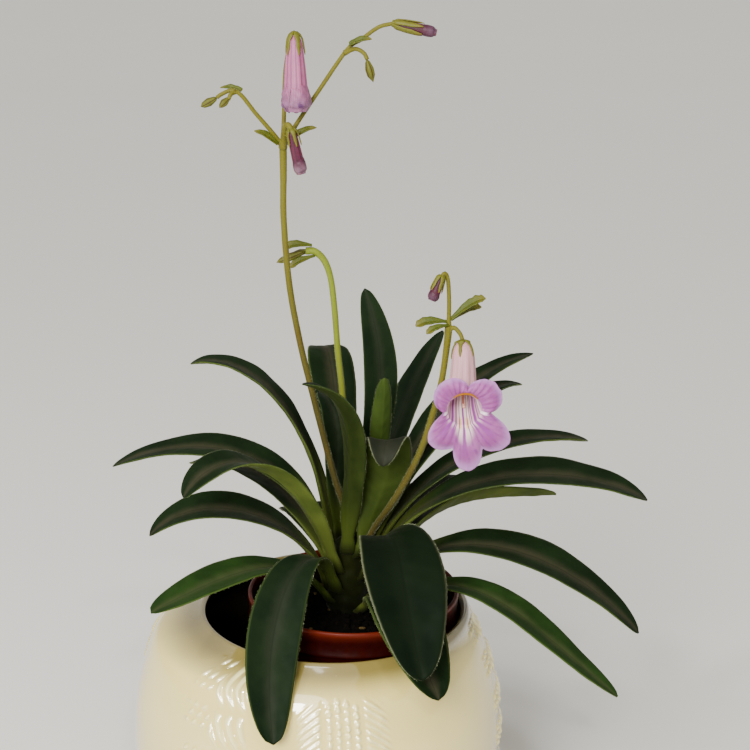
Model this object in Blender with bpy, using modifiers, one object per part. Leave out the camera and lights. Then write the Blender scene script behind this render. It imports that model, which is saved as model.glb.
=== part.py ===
"""Potted primulina: a rosette of thick leaves and three flower stalks, in a nursery pot inside a cachepot.

Metres, +Z up. The origin is the centre of the cachepot's flat bottom, and the open flower faces -Y.
"""

import math

import bmesh
import bpy
from mathutils import Vector

MM = 0.001
CLEARANCE = 0.3 * MM  # gap kept between pieces that touch
WELD = 0.01 * MM  # points closer than this are one point
TURN_STEPS = 40
CROWN_STEPS = 16

# Cachepot: a round glazed vessel whose mouth sits a little to one side
POT_HEIGHT = 84 * MM
POT_FLOOR = 7 * MM
POT_WALL = 4 * MM
POT_LEAN = 5.8 * MM
POT_LEAN_FROM = 76.5 * MM  # below this height the body stands straight
POT_OUTSIDE = (  # radius and height, from the lip down
    (41.3, 82.6), (41.7, 83.6), (42.8, 84.0), (43.8, 83.2), (46.9, 80.4), (52.4, 75.5),
    (55.7, 67.5), (58.8, 56), (60, 44), (60, 34), (58.4, 22), (54.5, 11.5), (48, 4.2), (41, 0.8), (39, 0),
)

# Nursery pot, soil and crown
NURSERY_X = 12 * MM
NURSERY_TOP = 89.5 * MM
NURSERY_BOTTOM = POT_FLOOR + CLEARANCE
NURSERY_WALL = 1.3 * MM
NURSERY_RIM_RADIUS = 34 * MM
NURSERY_RIM_HEIGHT = 8.5 * MM
NURSERY_FOOT_RADIUS = 24 * MM
DRAIN_RADIUS = 1.8 * MM
DRAIN_RING = 15 * MM
DRAIN_COUNT = 6
DRAIN_DEPTH = 4 * NURSERY_WALL
SOIL_TOP = 83.5 * MM
CROWN_X = 10.5 * MM
CROWN_PROFILE = (  # radius and height, from the top down
    (2.6, 108.5), (4.0, 106.8), (5.2, 102), (6.2, 96), (7.0, 90), (7.5, 84), (6.6, 78), (4.2, 72),
)

# Leaves
LEAF_THICK = 1.3 * MM
LEAF_ROWS = 10
LEAF_COLUMNS = 4
PETIOLE_WIDTH = 3.5 * MM
TIP_WIDTH = 1.4 * MM
CURL_STEPS = 12

# Stalks and flowers
STALK_ROUNDNESS = 2
STALK_STEP = 6 * MM
STALK_RADIUS = 1.0 * MM
STALK_TOP_RADIUS = 0.85 * MM
BRANCH_RADIUS = 0.65 * MM
PEDICEL_RADIUS = 0.5 * MM
BRACT_ROWS = 5
BRACT_THICK = 0.6 * MM
BUD_SIDES = 12
SEPAL_COUNT = 5
SEPAL_ROWS = 4
SEPAL_THICK = 0.4 * MM
SEPAL_BASE = 0.8 * MM
PETAL_THICK = 0.6 * MM
TUBE_PROFILE = ((0, 1.0), (0.12, 2.5), (0.3, 3.2), (0.55, 3.9), (0.8, 4.8), (1, 5.2))
TUBE_ROWS = 5
LOBE_ROWS = 4
FACE_COLUMNS = 36
MOUTH_RADIUS = 5.2 * MM
FACE_DISH = 0.8 * MM
OPEN_CALYX = 6 * MM
PISTIL_RADIUS = 0.5 * MM
STIGMA_RADIUS = 0.7 * MM
PISTIL_LIFT = Vector((0, 0, 0.4 * MM))
FACE_LOBES = (  # (angle, reach in mm) of the notch before each lobe, the reach of its tip, the notch after it
    ((90, 5.6), 11.6, (187, 7.6)),
    ((187, 7.6), 14.0, (248, 11)),
    ((248, 11), 20.5, (291, 12)),
    ((291, 12), 15.1, (352, 7.6)),
    ((352, 7.6), 11.2, (450, 5.6)),
)


def mm(x, y, z):
    """A point given in millimetres."""
    return Vector((x * MM, y * MM, z * MM))


def clear_scene():
    for found in list(bpy.data.objects):
        bpy.data.objects.remove(found)


def new_collection(name, hidden=False):
    collection = bpy.data.collections.new(name)
    collection.hide_render = hidden
    bpy.context.scene.collection.children.link(collection)
    return collection


def new_material(name, colour, roughness, coat=0.0):
    material = bpy.data.materials.new(name)
    material.use_nodes = True
    shader = material.node_tree.nodes["Principled BSDF"]
    shader.inputs["Base Color"].default_value = (*colour, 1)
    shader.inputs["Roughness"].default_value = roughness
    shader.inputs["Coat Weight"].default_value = coat
    material.diffuse_color = (*colour, 1)
    return material


def finish_object(name, mesh, material, collection):
    """An object for this mesh, smooth apart from its sharp edges."""
    mesh.materials.append(material)
    mesh.shade_smooth()
    mesh.set_sharp_from_angle(angle=math.radians(40))
    made = bpy.data.objects.new(name, mesh)
    collection.objects.link(made)
    return made


def turned(name, profile, material, collection, steps=TURN_STEPS):
    """A body of revolution about Z from (radius, height) points, from the axis and then down the outside."""
    points = [(radius, 0, height) for radius, height in profile]
    mesh = bpy.data.meshes.new(name)
    mesh.from_pydata(points, [(i, i + 1) for i in range(len(points) - 1)], [])
    made = finish_object(name, mesh, material, collection)
    screw = made.modifiers.new("turn", "SCREW")
    screw.steps = screw.render_steps = steps
    screw.use_merge_vertices = True
    screw.merge_threshold = 0.0001
    screw.use_smooth_shade = True
    return made


def baked(made):
    """Turns an object's modifiers into its own mesh, welded, and gives the object back."""
    bpy.context.view_layer.update()
    graph = bpy.context.evaluated_depsgraph_get()
    mesh = bpy.data.meshes.new_from_object(made.evaluated_get(graph))
    work = bmesh.new()
    work.from_mesh(mesh)
    bmesh.ops.remove_doubles(work, verts=work.verts, dist=WELD)
    work.to_mesh(mesh)
    work.free()
    if made.type == "MESH":
        made.modifiers.clear()
        made.data = mesh
        return made
    name, collection, matrix = made.name, made.users_collection[0], made.matrix_world.copy()
    bpy.data.objects.remove(made)
    replaced = bpy.data.objects.new(name, mesh)
    replaced.matrix_world = matrix
    collection.objects.link(replaced)
    return replaced


def boolean(target, tool, operation):
    change = target.modifiers.new(operation.lower(), "BOOLEAN")
    change.operation = operation
    change.object = tool
    tool.hide_render = True
    tool.display_type = "WIRE"


def bent_grid(name, along, across, place, material, collection, thick=0.0, round_about=False):
    """A grid whose points place(u, v) gives, u along and v across it, solidified or closed on itself."""
    work = bmesh.new()
    bmesh.ops.create_grid(work, x_segments=along, y_segments=across, size=0.5)
    for vertex in work.verts:
        vertex.co = place(vertex.co.x + 0.5, vertex.co.y + 0.5)
    if round_about:
        bmesh.ops.remove_doubles(work, verts=work.verts, dist=WELD)
        bmesh.ops.recalc_face_normals(work, faces=work.faces)
    mesh = bpy.data.meshes.new(name)
    work.to_mesh(mesh)
    work.free()
    made = finish_object(name, mesh, material, collection)
    if thick:
        shell = made.modifiers.new("thickness", "SOLIDIFY")
        shell.thickness = thick
        shell.offset = 0
    return made


def smoothstep(t):
    t = min(max(t, 0.0), 1.0)
    return t * t * (3 - 2 * t)


def heading(azimuth, rise):
    """A unit vector at this azimuth and this angle above the horizon, both in degrees."""
    turn, lift = math.radians(azimuth), math.radians(rise)
    return Vector((math.cos(lift) * math.cos(turn), math.cos(lift) * math.sin(turn), math.sin(lift)))


def bezier(points, t):
    a, b, c, d = points
    s = 1 - t
    return a * s**3 + b * (3 * s * s * t) + c * (3 * s * t * t) + d * t**3


def bezier_slope(points, t):
    a, b, c, d = points
    s = 1 - t
    return ((b - a) * (s * s) + (c - b) * (2 * s * t) + (d - c) * (t * t)).normalized()


def through(points, step=STALK_STEP):
    """A smooth line through hand-placed points, as points about a step apart."""
    ends = [points[0] * 2 - points[1], *points, points[-1] * 2 - points[-2]]
    line = []
    for a, b, c, d in zip(ends, ends[1:], ends[2:], ends[3:]):
        count = max(2, round((c - b).length / step))
        for i in range(count):
            t = i / count
            bend = (2 * a - 5 * b + 4 * c - d) * t**2 + (3 * b - 3 * c + d - a) * t**3
            line.append(b + ((c - a) * t + bend) / 2)
    return [*line, points[-1].copy()]


def tube(name, points, radius, end_radius, material, collection):
    """A round stem through these points that tapers from one radius to the other."""
    line = through(points)
    curve = bpy.data.curves.new(name, "CURVE")
    curve.dimensions = "3D"
    curve.bevel_depth = 1.0
    curve.bevel_resolution = STALK_ROUNDNESS
    curve.use_fill_caps = True
    spline = curve.splines.new("POLY")
    spline.points.add(len(line) - 1)
    for i, (point, place) in enumerate(zip(spline.points, line)):
        point.co = (*place, 1)
        point.radius = radius + (end_radius - radius) * i / (len(line) - 1)
    made = bpy.data.objects.new(name, curve)
    made.data.materials.append(material)
    collection.objects.link(made)
    return baked(made)


clear_scene()
parts = new_collection("potted_primulina")
tools = new_collection("cutters", hidden=True)

ceramic = new_material("cream_glaze", (0.86, 0.81, 0.66), 0.12, coat=0.6)
terracotta = new_material("terracotta_plastic", (0.42, 0.09, 0.03), 0.42)
peat = new_material("dark_soil", (0.012, 0.009, 0.007), 0.95)
stem_green = new_material("crown_green", (0.10, 0.16, 0.03), 0.6)
leaf_green = new_material("leaf_dark", (0.016, 0.045, 0.02), 0.65)
young_green = new_material("leaf_young", (0.07, 0.15, 0.03), 0.65)
stalk_olive = new_material("stalk_olive", (0.28, 0.25, 0.05), 0.6)
bract_green = new_material("bract_green", (0.20, 0.34, 0.05), 0.6)
petal_lilac = new_material("petal_lilac", (0.68, 0.42, 0.72), 0.5)
bud_maroon = new_material("bud_maroon", (0.24, 0.05, 0.14), 0.5)
pistil_orange = new_material("pistil_orange", (0.72, 0.30, 0.04), 0.5)


def cachepot():
    """Walls of even thickness, a flat bottom to stand on, and a mouth that leans to +X."""
    outside = [(radius * MM, height * MM) for radius, height in POT_OUTSIDE]
    inside = [
        (radius - POT_WALL * smoothstep((POT_HEIGHT - height) / (4 * MM)), height)
        for radius, height in reversed(outside)
        if POT_FLOOR < height < POT_HEIGHT and radius > outside[0][0]
    ]
    floor = [(0, POT_FLOOR), (36 * MM, POT_FLOOR), (43 * MM, POT_FLOOR + 1.2 * MM)]
    below_lip = [(radius, height - 1.5 * MM) for radius, height in inside if height < POT_HEIGHT - 8 * MM]
    profile = [*floor, *below_lip, *outside, (0, 0)]
    made = baked(turned("cachepot", profile, ceramic, parts))
    for vertex in made.data.vertices:
        rise = (vertex.co.z - POT_LEAN_FROM) / (POT_HEIGHT - POT_LEAN_FROM)
        vertex.co.x += POT_LEAN * smoothstep(rise)
    return made


def nursery_radius(height):
    """Outer radius of the tapered wall below the rim band."""
    share = (height - NURSERY_BOTTOM) / (NURSERY_TOP - NURSERY_RIM_HEIGHT - NURSERY_BOTTOM)
    return NURSERY_FOOT_RADIUS + (NURSERY_RIM_RADIUS - 1.2 * MM - NURSERY_FOOT_RADIUS) * share


def nursery_pot():
    band = NURSERY_TOP - NURSERY_RIM_HEIGHT
    floor = NURSERY_BOTTOM + NURSERY_WALL
    edge = 0.4 * MM
    profile = [
        (0, floor),
        (nursery_radius(floor) - NURSERY_WALL - edge, floor),
        (nursery_radius(floor) - NURSERY_WALL, floor + edge),
        (nursery_radius(band) - NURSERY_WALL, band),
        (NURSERY_RIM_RADIUS - NURSERY_WALL, band + 1.5 * MM),
        (NURSERY_RIM_RADIUS - NURSERY_WALL, NURSERY_TOP - edge),
        (NURSERY_RIM_RADIUS - NURSERY_WALL + edge, NURSERY_TOP),
        (NURSERY_RIM_RADIUS - edge, NURSERY_TOP),
        (NURSERY_RIM_RADIUS, NURSERY_TOP - edge),
        (NURSERY_RIM_RADIUS, band),
        (nursery_radius(band), band - edge),
        (nursery_radius(NURSERY_BOTTOM + edge), NURSERY_BOTTOM + edge),
        (NURSERY_FOOT_RADIUS - edge, NURSERY_BOTTOM),
        (0, NURSERY_BOTTOM),
    ]
    made = turned("nursery_pot", profile, terracotta, parts)
    made.location.x = NURSERY_X
    for i in range(DRAIN_COUNT):
        turn = math.tau * i / DRAIN_COUNT
        work = bmesh.new()
        bmesh.ops.create_cone(
            work, cap_ends=True, segments=12, radius1=DRAIN_RADIUS, radius2=DRAIN_RADIUS, depth=DRAIN_DEPTH
        )
        mesh = bpy.data.meshes.new(f"drain_{i}")
        work.to_mesh(mesh)
        work.free()
        drill = bpy.data.objects.new(f"drain_{i}", mesh)
        drill.location = (
            NURSERY_X + DRAIN_RING * math.cos(turn),
            DRAIN_RING * math.sin(turn),
            NURSERY_BOTTOM + NURSERY_WALL / 2,
        )
        tools.objects.link(drill)
        boolean(made, drill, "DIFFERENCE")
    return made


def crown_radius(height):
    """Radius of the crown at a height in millimetres."""
    for (r_top, z_top), (r_low, z_low) in zip(CROWN_PROFILE, CROWN_PROFILE[1:]):
        if z_low <= height <= z_top:
            return r_low + (r_top - r_low) * (height - z_low) / (z_top - z_low)
    return CROWN_PROFILE[0][0]


def crown(name, grow, material, collection):
    """The short stem that carries the leaves, with its neck in the soil."""
    profile = [(0, CROWN_PROFILE[0][1] * MM + grow)]
    profile += [(radius * MM + grow, height * MM) for radius, height in CROWN_PROFILE]
    profile += [(0, CROWN_PROFILE[-1][1] * MM - grow - 1.5 * MM)]
    made = turned(name, profile, material, collection, steps=CROWN_STEPS)
    made.location.x = CROWN_X
    return made


def potting_soil():
    """A low mound that fills the nursery pot, with a socket for the crown's neck."""
    wall = NURSERY_WALL + CLEARANCE
    floor = NURSERY_BOTTOM + wall
    band = NURSERY_TOP - NURSERY_RIM_HEIGHT
    rim = NURSERY_RIM_RADIUS - wall
    profile = [
        (0, SOIL_TOP + 0.6 * MM),
        (rim * 0.45, SOIL_TOP + 0.2 * MM),
        (rim * 0.8, SOIL_TOP),
        (rim, SOIL_TOP - 0.5 * MM),
        (nursery_radius(band) - wall, band - CLEARANCE),
        (nursery_radius(floor) - wall - 0.6 * MM, floor + 0.4 * MM),
        (nursery_radius(floor) - wall - 1.2 * MM, floor),
        (0, floor),
    ]
    made = turned("potting_soil", profile, peat, parts)
    made.location.x = NURSERY_X
    boolean(made, crown("crown_socket", CLEARANCE, peat, tools), "DIFFERENCE")
    return made


def on_crown(azimuth, height, out):
    """The point this far out from the crown's side, at an azimuth in degrees and a height in millimetres."""
    reach = crown_radius(height) * MM + CLEARANCE + out
    return Vector((CROWN_X, 0, height * MM)) + heading(azimuth, 0) * reach


def leaf(name, tip, root, lift, fall, width, swing=0, turn=0, reach=0.42, ease=0.42, roll=0, fold=0.22,
         blunt=0.0, face=None, hook=None, material=leaf_green):
    """A thick leaf on the crown. Its middle line leaves the crown at height root, lift degrees above the
    horizon and swing degrees off the line to its tip. It arrives at tip fall degrees below the horizon and
    turn degrees off. The blade lies across the way that it goes, or across the azimuth face. A hook, a
    length in mm and an angle, curls the end over past the tip."""
    end = mm(*tip)
    azimuth = math.degrees(math.atan2(end.y, end.x - CROWN_X))
    start = on_crown(azimuth + swing, root, LEAF_THICK * 0.65)
    chord = (end - start).length
    spine = (
        start,
        start + heading(azimuth + swing, lift) * (reach * chord),
        end - heading(azimuth + turn, -fall) * (ease * chord),
        end,
    )
    curl_length, curl_angle = hook or (0, 0)
    curl_length *= MM
    straight = chord / (chord + curl_length)

    def middle(u):
        """The point and the direction of the middle line at u."""
        if u <= straight:
            return bezier(spine, u / straight), bezier_slope(spine, u / straight)
        done = (u - straight) / (1 - straight)
        point = end.copy()
        for i in range(CURL_STEPS):
            bent = curl_angle * done * (i + 0.5) / CURL_STEPS
            point += heading(azimuth + turn, -fall - bent) * (curl_length * done / CURL_STEPS)
        return point, heading(azimuth + turn, -fall - curl_angle * done)

    def place(u, v):
        point, along = middle(u)
        last, pace = (azimuth + turn, 1.3) if face is None else (face, 3)
        way = azimuth + swing + (last - azimuth - swing) * smoothstep(u * pace)
        level = heading(way + 90, 0)
        flat = (level - along * level.dot(along)).normalized()
        upper = along.cross(flat)
        angle = math.radians(roll) * smoothstep(u * 1.4)
        side = flat * math.cos(angle) + upper * math.sin(angle)
        top = upper * math.cos(angle) - flat * math.sin(angle)
        across = (v - 0.5) * 2
        half = leaf_half_width(u, width * MM, blunt)
        return point + side * (across * half) + top * (abs(across) ** 1.5 * half * fold)

    bent_grid(name, LEAF_ROWS, LEAF_COLUMNS, place, material, parts, thick=LEAF_THICK)


def leaf_half_width(u, width, blunt=0.0):
    """Half the blade's width at u: a narrow stalk that widens to the blade past the middle, then a tip."""
    petiole = PETIOLE_WIDTH * (1 - 0.15 * smoothstep(u / 0.3))
    blade = math.sin(math.pi * min(max((u - 0.06) / 0.94, 0), 1) ** (1.25 + blunt)) ** (0.72 - blunt * 0.36)
    body = petiole * (1 - smoothstep(u * 1.6)) + width * blade
    return max(min(body, width), TIP_WIDTH * (1 if u > 0.5 else 2)) / 2


def stalk(name, trunk, branches):
    """A flower stalk as one piece: the trunk, and the branches and pedicels that grow from it."""
    made = tube(name, trunk, STALK_RADIUS, STALK_TOP_RADIUS, stalk_olive, parts)
    for i, points in enumerate(branches):
        grown = tube(f"{name}_branch_{i}", points, BRANCH_RADIUS, PEDICEL_RADIUS, stalk_olive, tools)
        boolean(made, grown, "UNION")


def bract(name, start, end, width):
    """A narrow bract that leaves the stalk level and droops a little towards its tip."""
    rise = Vector((0, 0, (end - start).length * 0.12))
    spine = (start, start + (end - start) * 0.33 + rise, start + (end - start) * 0.7 + rise, end)

    def place(u, v):
        along = bezier_slope(spine, u)
        side = along.cross(Vector((0, 0, 1))).normalized()
        across = (v - 0.5) * 2
        half = width * MM / 2 * max(math.sin(math.pi * (0.18 + 0.78 * u)), 0.2)
        return bezier(spine, u) + side * (across * half) + side.cross(along) * (abs(across) * half * 0.4)

    bent_grid(name, BRACT_ROWS, 2, place, bract_green, parts, thick=BRACT_THICK)


def profile_radius(profile, share):
    """The radius, in metres, at this share of the length, from (share, radius in mm) points."""
    for (u0, r0), (u1, r1) in zip(profile, profile[1:]):
        if u0 <= share <= u1:
            return (r0 + (r1 - r0) * (share - u0) / (u1 - u0)) * MM
    return profile[-1][1] * MM


def cross_axes(along):
    """Two unit vectors square to this one, the second pointing up as far as it can."""
    side = along.cross(Vector((0, 0, 1)))
    side = side.normalized() if side.length > 1e-4 else Vector((1, 0, 0))
    return side, side.cross(along).normalized()


def flower_bud(name, base, tip, profile, material, calyx=0.0):
    """A closed bud, round about the line from base to tip. With a calyx, a length in mm, it is a corolla in
    a cup of sepals."""
    along = (tip - base).normalized()
    length = (tip - base).length
    side, up = cross_axes(along)
    shares = [share for share, _ in profile]

    def ring(distance, radius, angle):
        return base + along * distance + (side * math.cos(angle) + up * math.sin(angle)) * radius

    def radius_at(distance):
        return profile_radius(profile, max(distance / length, 0.0))

    def place(u, v):
        step = u * (len(shares) - 1)
        i = min(int(step), len(shares) - 2)
        distance = length * (shares[i] + (shares[i + 1] - shares[i]) * (step - i))
        return ring(distance, radius_at(distance), math.tau * v)

    body = f"{name}_corolla" if calyx else name
    bent_grid(body, len(shares) - 1, BUD_SIDES, place, material, parts, round_about=True)
    if calyx:
        sepals(f"{name}_calyx", ring, calyx * MM, radius_at)


def sepals(name, ring, length, radius_at):
    """A cup of narrow sepals that holds what radius_at gives, open where the pedicel meets it."""
    gap = CLEARANCE * 1.8 + SEPAL_THICK / 2

    def place(u, v):
        tooth = abs((v * SEPAL_COUNT * 2) % 2 - 1)
        reach = length * (0.4 + 0.6 * tooth)
        distance = -SEPAL_BASE + (reach + SEPAL_BASE) * u
        wide = (radius_at(distance + 0.8 * MM) + gap) / math.cos(math.pi / (2 * SEPAL_COUNT))
        return ring(distance, max(wide * smoothstep(0.35 + u * 4), PEDICEL_RADIUS * 2.3), math.tau * v)

    columns = SEPAL_COUNT * 2
    bent_grid(name, SEPAL_ROWS, columns, place, bract_green, parts, thick=SEPAL_THICK, round_about=True)


def lobe_reach(angle):
    """How far the face of the open flower reaches from the middle of its mouth at this angle, in metres."""
    turn = math.degrees(angle) % 360
    for (first, notch_first), tip, (last, notch_last) in FACE_LOBES:
        here = turn if turn >= first else turn + 360
        if first <= here <= last:
            share = (here - first) / (last - first)
            notch = notch_first + (notch_last - notch_first) * share
            return (notch + (tip - notch) * (1 - abs(2 * share - 1) ** 2.4) ** 0.6) * MM
    return MOUTH_RADIUS


def open_flower():
    """Corolla, calyx and pistil of the open flower: a tube that widens to a mouth with five spread lobes."""
    start = mm(45.2, -19.8, 178.6)
    mouth = mm(46.7, -31.5, 161.3)
    first = (mm(45.8, -22.6, 171) - start).normalized()
    facing = heading(271, -6)
    spine = (start, start + first * (9 * MM), mouth - facing * (7 * MM), mouth)
    tube_length = (mouth - start).length
    tube_share = TUBE_ROWS / (TUBE_ROWS + LOBE_ROWS)

    def ring_axes(share):
        along = first.lerp(facing, smoothstep(share)).normalized()
        side = (Vector((1, 0, 0)) - along * along.x).normalized()
        return side, along.cross(side).normalized()

    def ring(distance, radius, angle):
        share = min(max(distance / tube_length, 0.0), 1.0)
        side, up = ring_axes(share)
        middle = bezier(spine, share) + first * min(distance, 0.0)
        return middle + (side * math.cos(angle) + up * math.sin(angle)) * radius

    def tube_radius(distance):
        return profile_radius(TUBE_PROFILE, min(max(distance / tube_length, 0.0), 1.0))

    def place(u, v):
        angle = math.tau * v
        if u <= tube_share:
            distance = tube_length * u / tube_share
            return ring(distance, tube_radius(distance), angle)
        share = (u - tube_share) / (1 - tube_share)
        out = MOUTH_RADIUS + (lobe_reach(angle) - MOUTH_RADIUS) * share
        forward = FACE_DISH * math.sin(math.pi * min(share, 0.6))
        return ring(tube_length, out, angle) + facing * forward

    rows = TUBE_ROWS + LOBE_ROWS
    bent_grid("open_flower_corolla", rows, FACE_COLUMNS, place, petal_lilac, parts, PETAL_THICK, True)
    sepals("open_flower_calyx", ring, OPEN_CALYX, tube_radius)
    line = [bezier(spine, share) + PISTIL_LIFT for share in (0.12, 0.4, 0.7, 0.96)]
    tube("open_flower_pistil", line, PISTIL_RADIUS, STIGMA_RADIUS, pistil_orange, parts)


cachepot()
nursery_pot()
potting_soil()
crown("crown", 0, stem_green, parts)

# Leaves that reach left, counted from the lowest to the highest
leaf("leaf_left_1", tip=(-49, -37, 98), root=88, lift=60, fall=14, width=16, roll=-4,
     material=young_green)
leaf("leaf_left_2", tip=(-52, -10, 112), root=92, lift=80, fall=44, width=18, reach=0.34, ease=0.46,
     roll=-8)
leaf("leaf_left_3", tip=(-39, -28, 132), root=98.5, lift=70, fall=52, width=17, swing=25, face=-135,
     reach=0.66, ease=0.42)
leaf("leaf_left_4", tip=(-67, 20, 124), root=97, lift=80, fall=28, width=15, swing=-12, reach=0.47,
     ease=0.5, roll=-10)
leaf("leaf_left_5", tip=(-40, 16, 160.6), root=101.5, lift=85, fall=20, width=14, swing=-15, face=178,
     reach=0.57, ease=0.3)

# Leaves that reach right
leaf("leaf_right_1", tip=(92, -49, 76), root=86, lift=34, fall=28, width=14, reach=0.53, ease=0.48,
     material=young_green)
leaf("leaf_right_2", tip=(101, -26, 86), root=89, lift=56, fall=46, width=18, ease=0.46, roll=8)
leaf("leaf_right_3", tip=(78, 13, 117), root=91, lift=60, fall=4, width=17, reach=0.52, ease=0.46,
     roll=-32)
leaf("leaf_right_4", tip=(105, -5, 122), root=94.5, lift=70, fall=29, width=18, reach=0.47, ease=0.3,
     roll=8)
leaf("leaf_right_5", tip=(89, 24, 131.5), root=97.5, lift=68, fall=16, width=14, reach=0.47, ease=0.3)
leaf("leaf_right_6", tip=(68, 39, 146), root=101, lift=66, fall=16, width=11, swing=-19, reach=0.4,
     ease=0.3)
leaf("leaf_right_7", tip=(72, 45, 155), root=103.8, lift=63, fall=-3, width=12, swing=-13)

# Leaves that hang over the front
leaf("leaf_front_1", tip=(-11, -62, 67), root=92, lift=70, fall=52, width=16.5, swing=-14, turn=36,
     reach=0.56, ease=0.64, blunt=0.9)
leaf("leaf_front_2", tip=(38, -55, 78), root=85, lift=50, fall=32, width=21, swing=6, reach=0.53)
leaf("leaf_front_3", tip=(33, -60, 87), root=96, lift=68, fall=56, width=26, swing=28, turn=5,
     reach=0.66, ease=0.58)

# Leaves that stand up in the middle
leaf("leaf_up_1", tip=(15.8, 7, 188), root=106, lift=76, fall=-72, width=10.6, swing=5, turn=125,
     face=88, blunt=0.4)
leaf("leaf_up_2", tip=(42, 55, 160), root=102.5, lift=56, fall=-30, width=13.4, swing=-3, reach=0.38,
     roll=-15)
leaf("leaf_up_3", tip=(-3, -18, 165), root=105, lift=84, fall=-14, width=13, swing=35, turn=-38,
     face=-145, ease=0.36)
leaf("leaf_up_4", tip=(22, -6, 163), root=106.5, lift=79, fall=-86, width=6.8, swing=22, face=-70,
     blunt=0.9, material=young_green)
leaf("leaf_up_5", tip=(23.2, -9, 140.2), root=103.6, lift=80, fall=-74, width=15, swing=-11, turn=-62,
     face=-88, hook=(18, 150), material=young_green)
leaf("leaf_up_6", tip=(1, 16, 151), root=106.3, lift=74, fall=-5, width=10, swing=7)

# Leaves at the back
leaf("leaf_back_1", tip=(0, 62, 150), root=99, lift=73, fall=35, width=15, reach=0.62, fold=0.1)
leaf("leaf_back_2", tip=(-11, 42, 99), root=91, lift=55, fall=35, width=16)
leaf("leaf_back_3", tip=(30, 62, 92), root=90, lift=55, fall=35, width=17)
leaf("leaf_back_4", tip=(62, 50, 104), root=93, lift=60, fall=28, width=16)
leaf("leaf_back_5", tip=(-44, 44, 116), root=94, lift=66, fall=22, width=15)

# The tall stalk, with a closed flower, a fallen-forward bud and a cyme on each side
TALL_FORK = mm(-8.6, 0, 235.2)
stalk(
    "stalk_tall",
    trunk=[mm(10.3, -0.6, 108.9), mm(10.2, -1.4, 115.2), mm(6.5, -2.4, 127.6), mm(3.2, -2.6, 141.1),
           mm(-0.7, -2.4, 157.6), mm(-4.6, -1.8, 175.4), mm(-7.4, -1, 192.8), mm(-8.7, -0.4, 212),
           mm(-8.6, 0, 225), TALL_FORK],
    branches=[
        [TALL_FORK + mm(0, 0, -1.5), mm(-8.3, 2.5, 243), mm(-7.8, 5, 256), mm(-6.1, 4.6, 265.4),
         mm(-5.0, 1.7, 269.2), mm(-4.7, -0.4, 269.0)],
        [TALL_FORK + mm(0, 0, -1.5), mm(-7.9, -2.6, 239.6), mm(-6.8, -4.4, 241.4), mm(-6.0, -5.2, 240.4)],
        [TALL_FORK + mm(0, 0, -1.5), mm(-5.6, 0.8, 239), mm(2.6, 2.5, 251), mm(10.7, 3, 262.5),
         mm(15, 3, 265.6), mm(20, 2.5, 269.2), mm(24.2, 2, 270.4)],
        [mm(10.0, 3, 261.6), mm(13.2, 1.4, 263.0), mm(15.6, 0.4, 262.0), mm(16.5, 0, 260.6)],
        [TALL_FORK + mm(0.2, 0, -1.5), mm(-11.5, -1.6, 238.4), mm(-16.5, -2.6, 244.6), mm(-20.6, -3, 250),
         mm(-23.5, -3, 251.4), mm(-26.4, -3.2, 250.3), mm(-27.3, -3.2, 249.7)],
        [mm(-22.6, -3, 251.0), mm(-23.6, -4.4, 250.4), mm(-24.0, -5, 249.6)],
    ],
)
bract("tall_bract_left", mm(-11.0, -2.2, 235.6), mm(-17.0, -2.6, 239.2), 2.6)
bract("tall_bract_right", mm(-5.4, -0.6, 236.6), mm(1.6, -1.6, 240.0), 2.4)
bract("cyme_bract_right", mm(12.4, 1.1, 264.4), mm(18.0, -0.4, 266.0), 2.2)
bract("cyme_bract_left", mm(-21.4, -1.2, 251.2), mm(-27.0, 0.4, 251.6), 1.8)

# Closed flower: the lobes of a corolla that is about to open, folded over its end
flower_bud("closed_flower", mm(-4.7, -1.0, 268.0), mm(-4.3, -3.4, 244.6),
           profile=((0, 0), (0.04, 1.3), (0.16, 2.2), (0.4, 3.1), (0.7, 3.9), (0.86, 4.4), (0.95, 4), (1, 0)),
           calyx=6.8, material=petal_lilac)
flower_bud("low_bud", mm(-5.8, -5.4, 239.8), mm(-2.9, -6.2, 227.0),
           profile=((0, 0), (0.05, 0.8), (0.3, 1.4), (0.6, 1.7), (0.85, 2.1), (0.95, 1.7), (1, 0)),
           calyx=5.4, material=bud_maroon)
flower_bud("right_bud", mm(24.8, 2, 270.3), mm(37.2, 1, 267.8),
           profile=((0, 0), (0.06, 0.8), (0.3, 1.3), (0.6, 1.5), (0.88, 1.5), (1, 0)),
           calyx=8.5, material=bud_maroon)
flower_bud("small_right_bud", mm(16.6, -0.2, 260.2), mm(18.5, -0.6, 253.4),
           profile=((0, 0), (0.1, 0.7), (0.4, 1.3), (0.7, 1.2), (1, 0)), material=bract_green)
flower_bud("left_bud", mm(-27.7, -3.2, 249.3), mm(-32.6, -3.4, 246.6),
           profile=((0, 0), (0.1, 0.7), (0.5, 1.3), (0.85, 0.9), (1, 0)), material=bract_green)
flower_bud("small_left_bud", mm(-24.2, -5.2, 249.3), mm(-27.0, -6.2, 246.8),
           profile=((0, 0), (0.12, 0.5), (0.5, 1.0), (0.85, 0.6), (1, 0)), material=bract_green)

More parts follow.
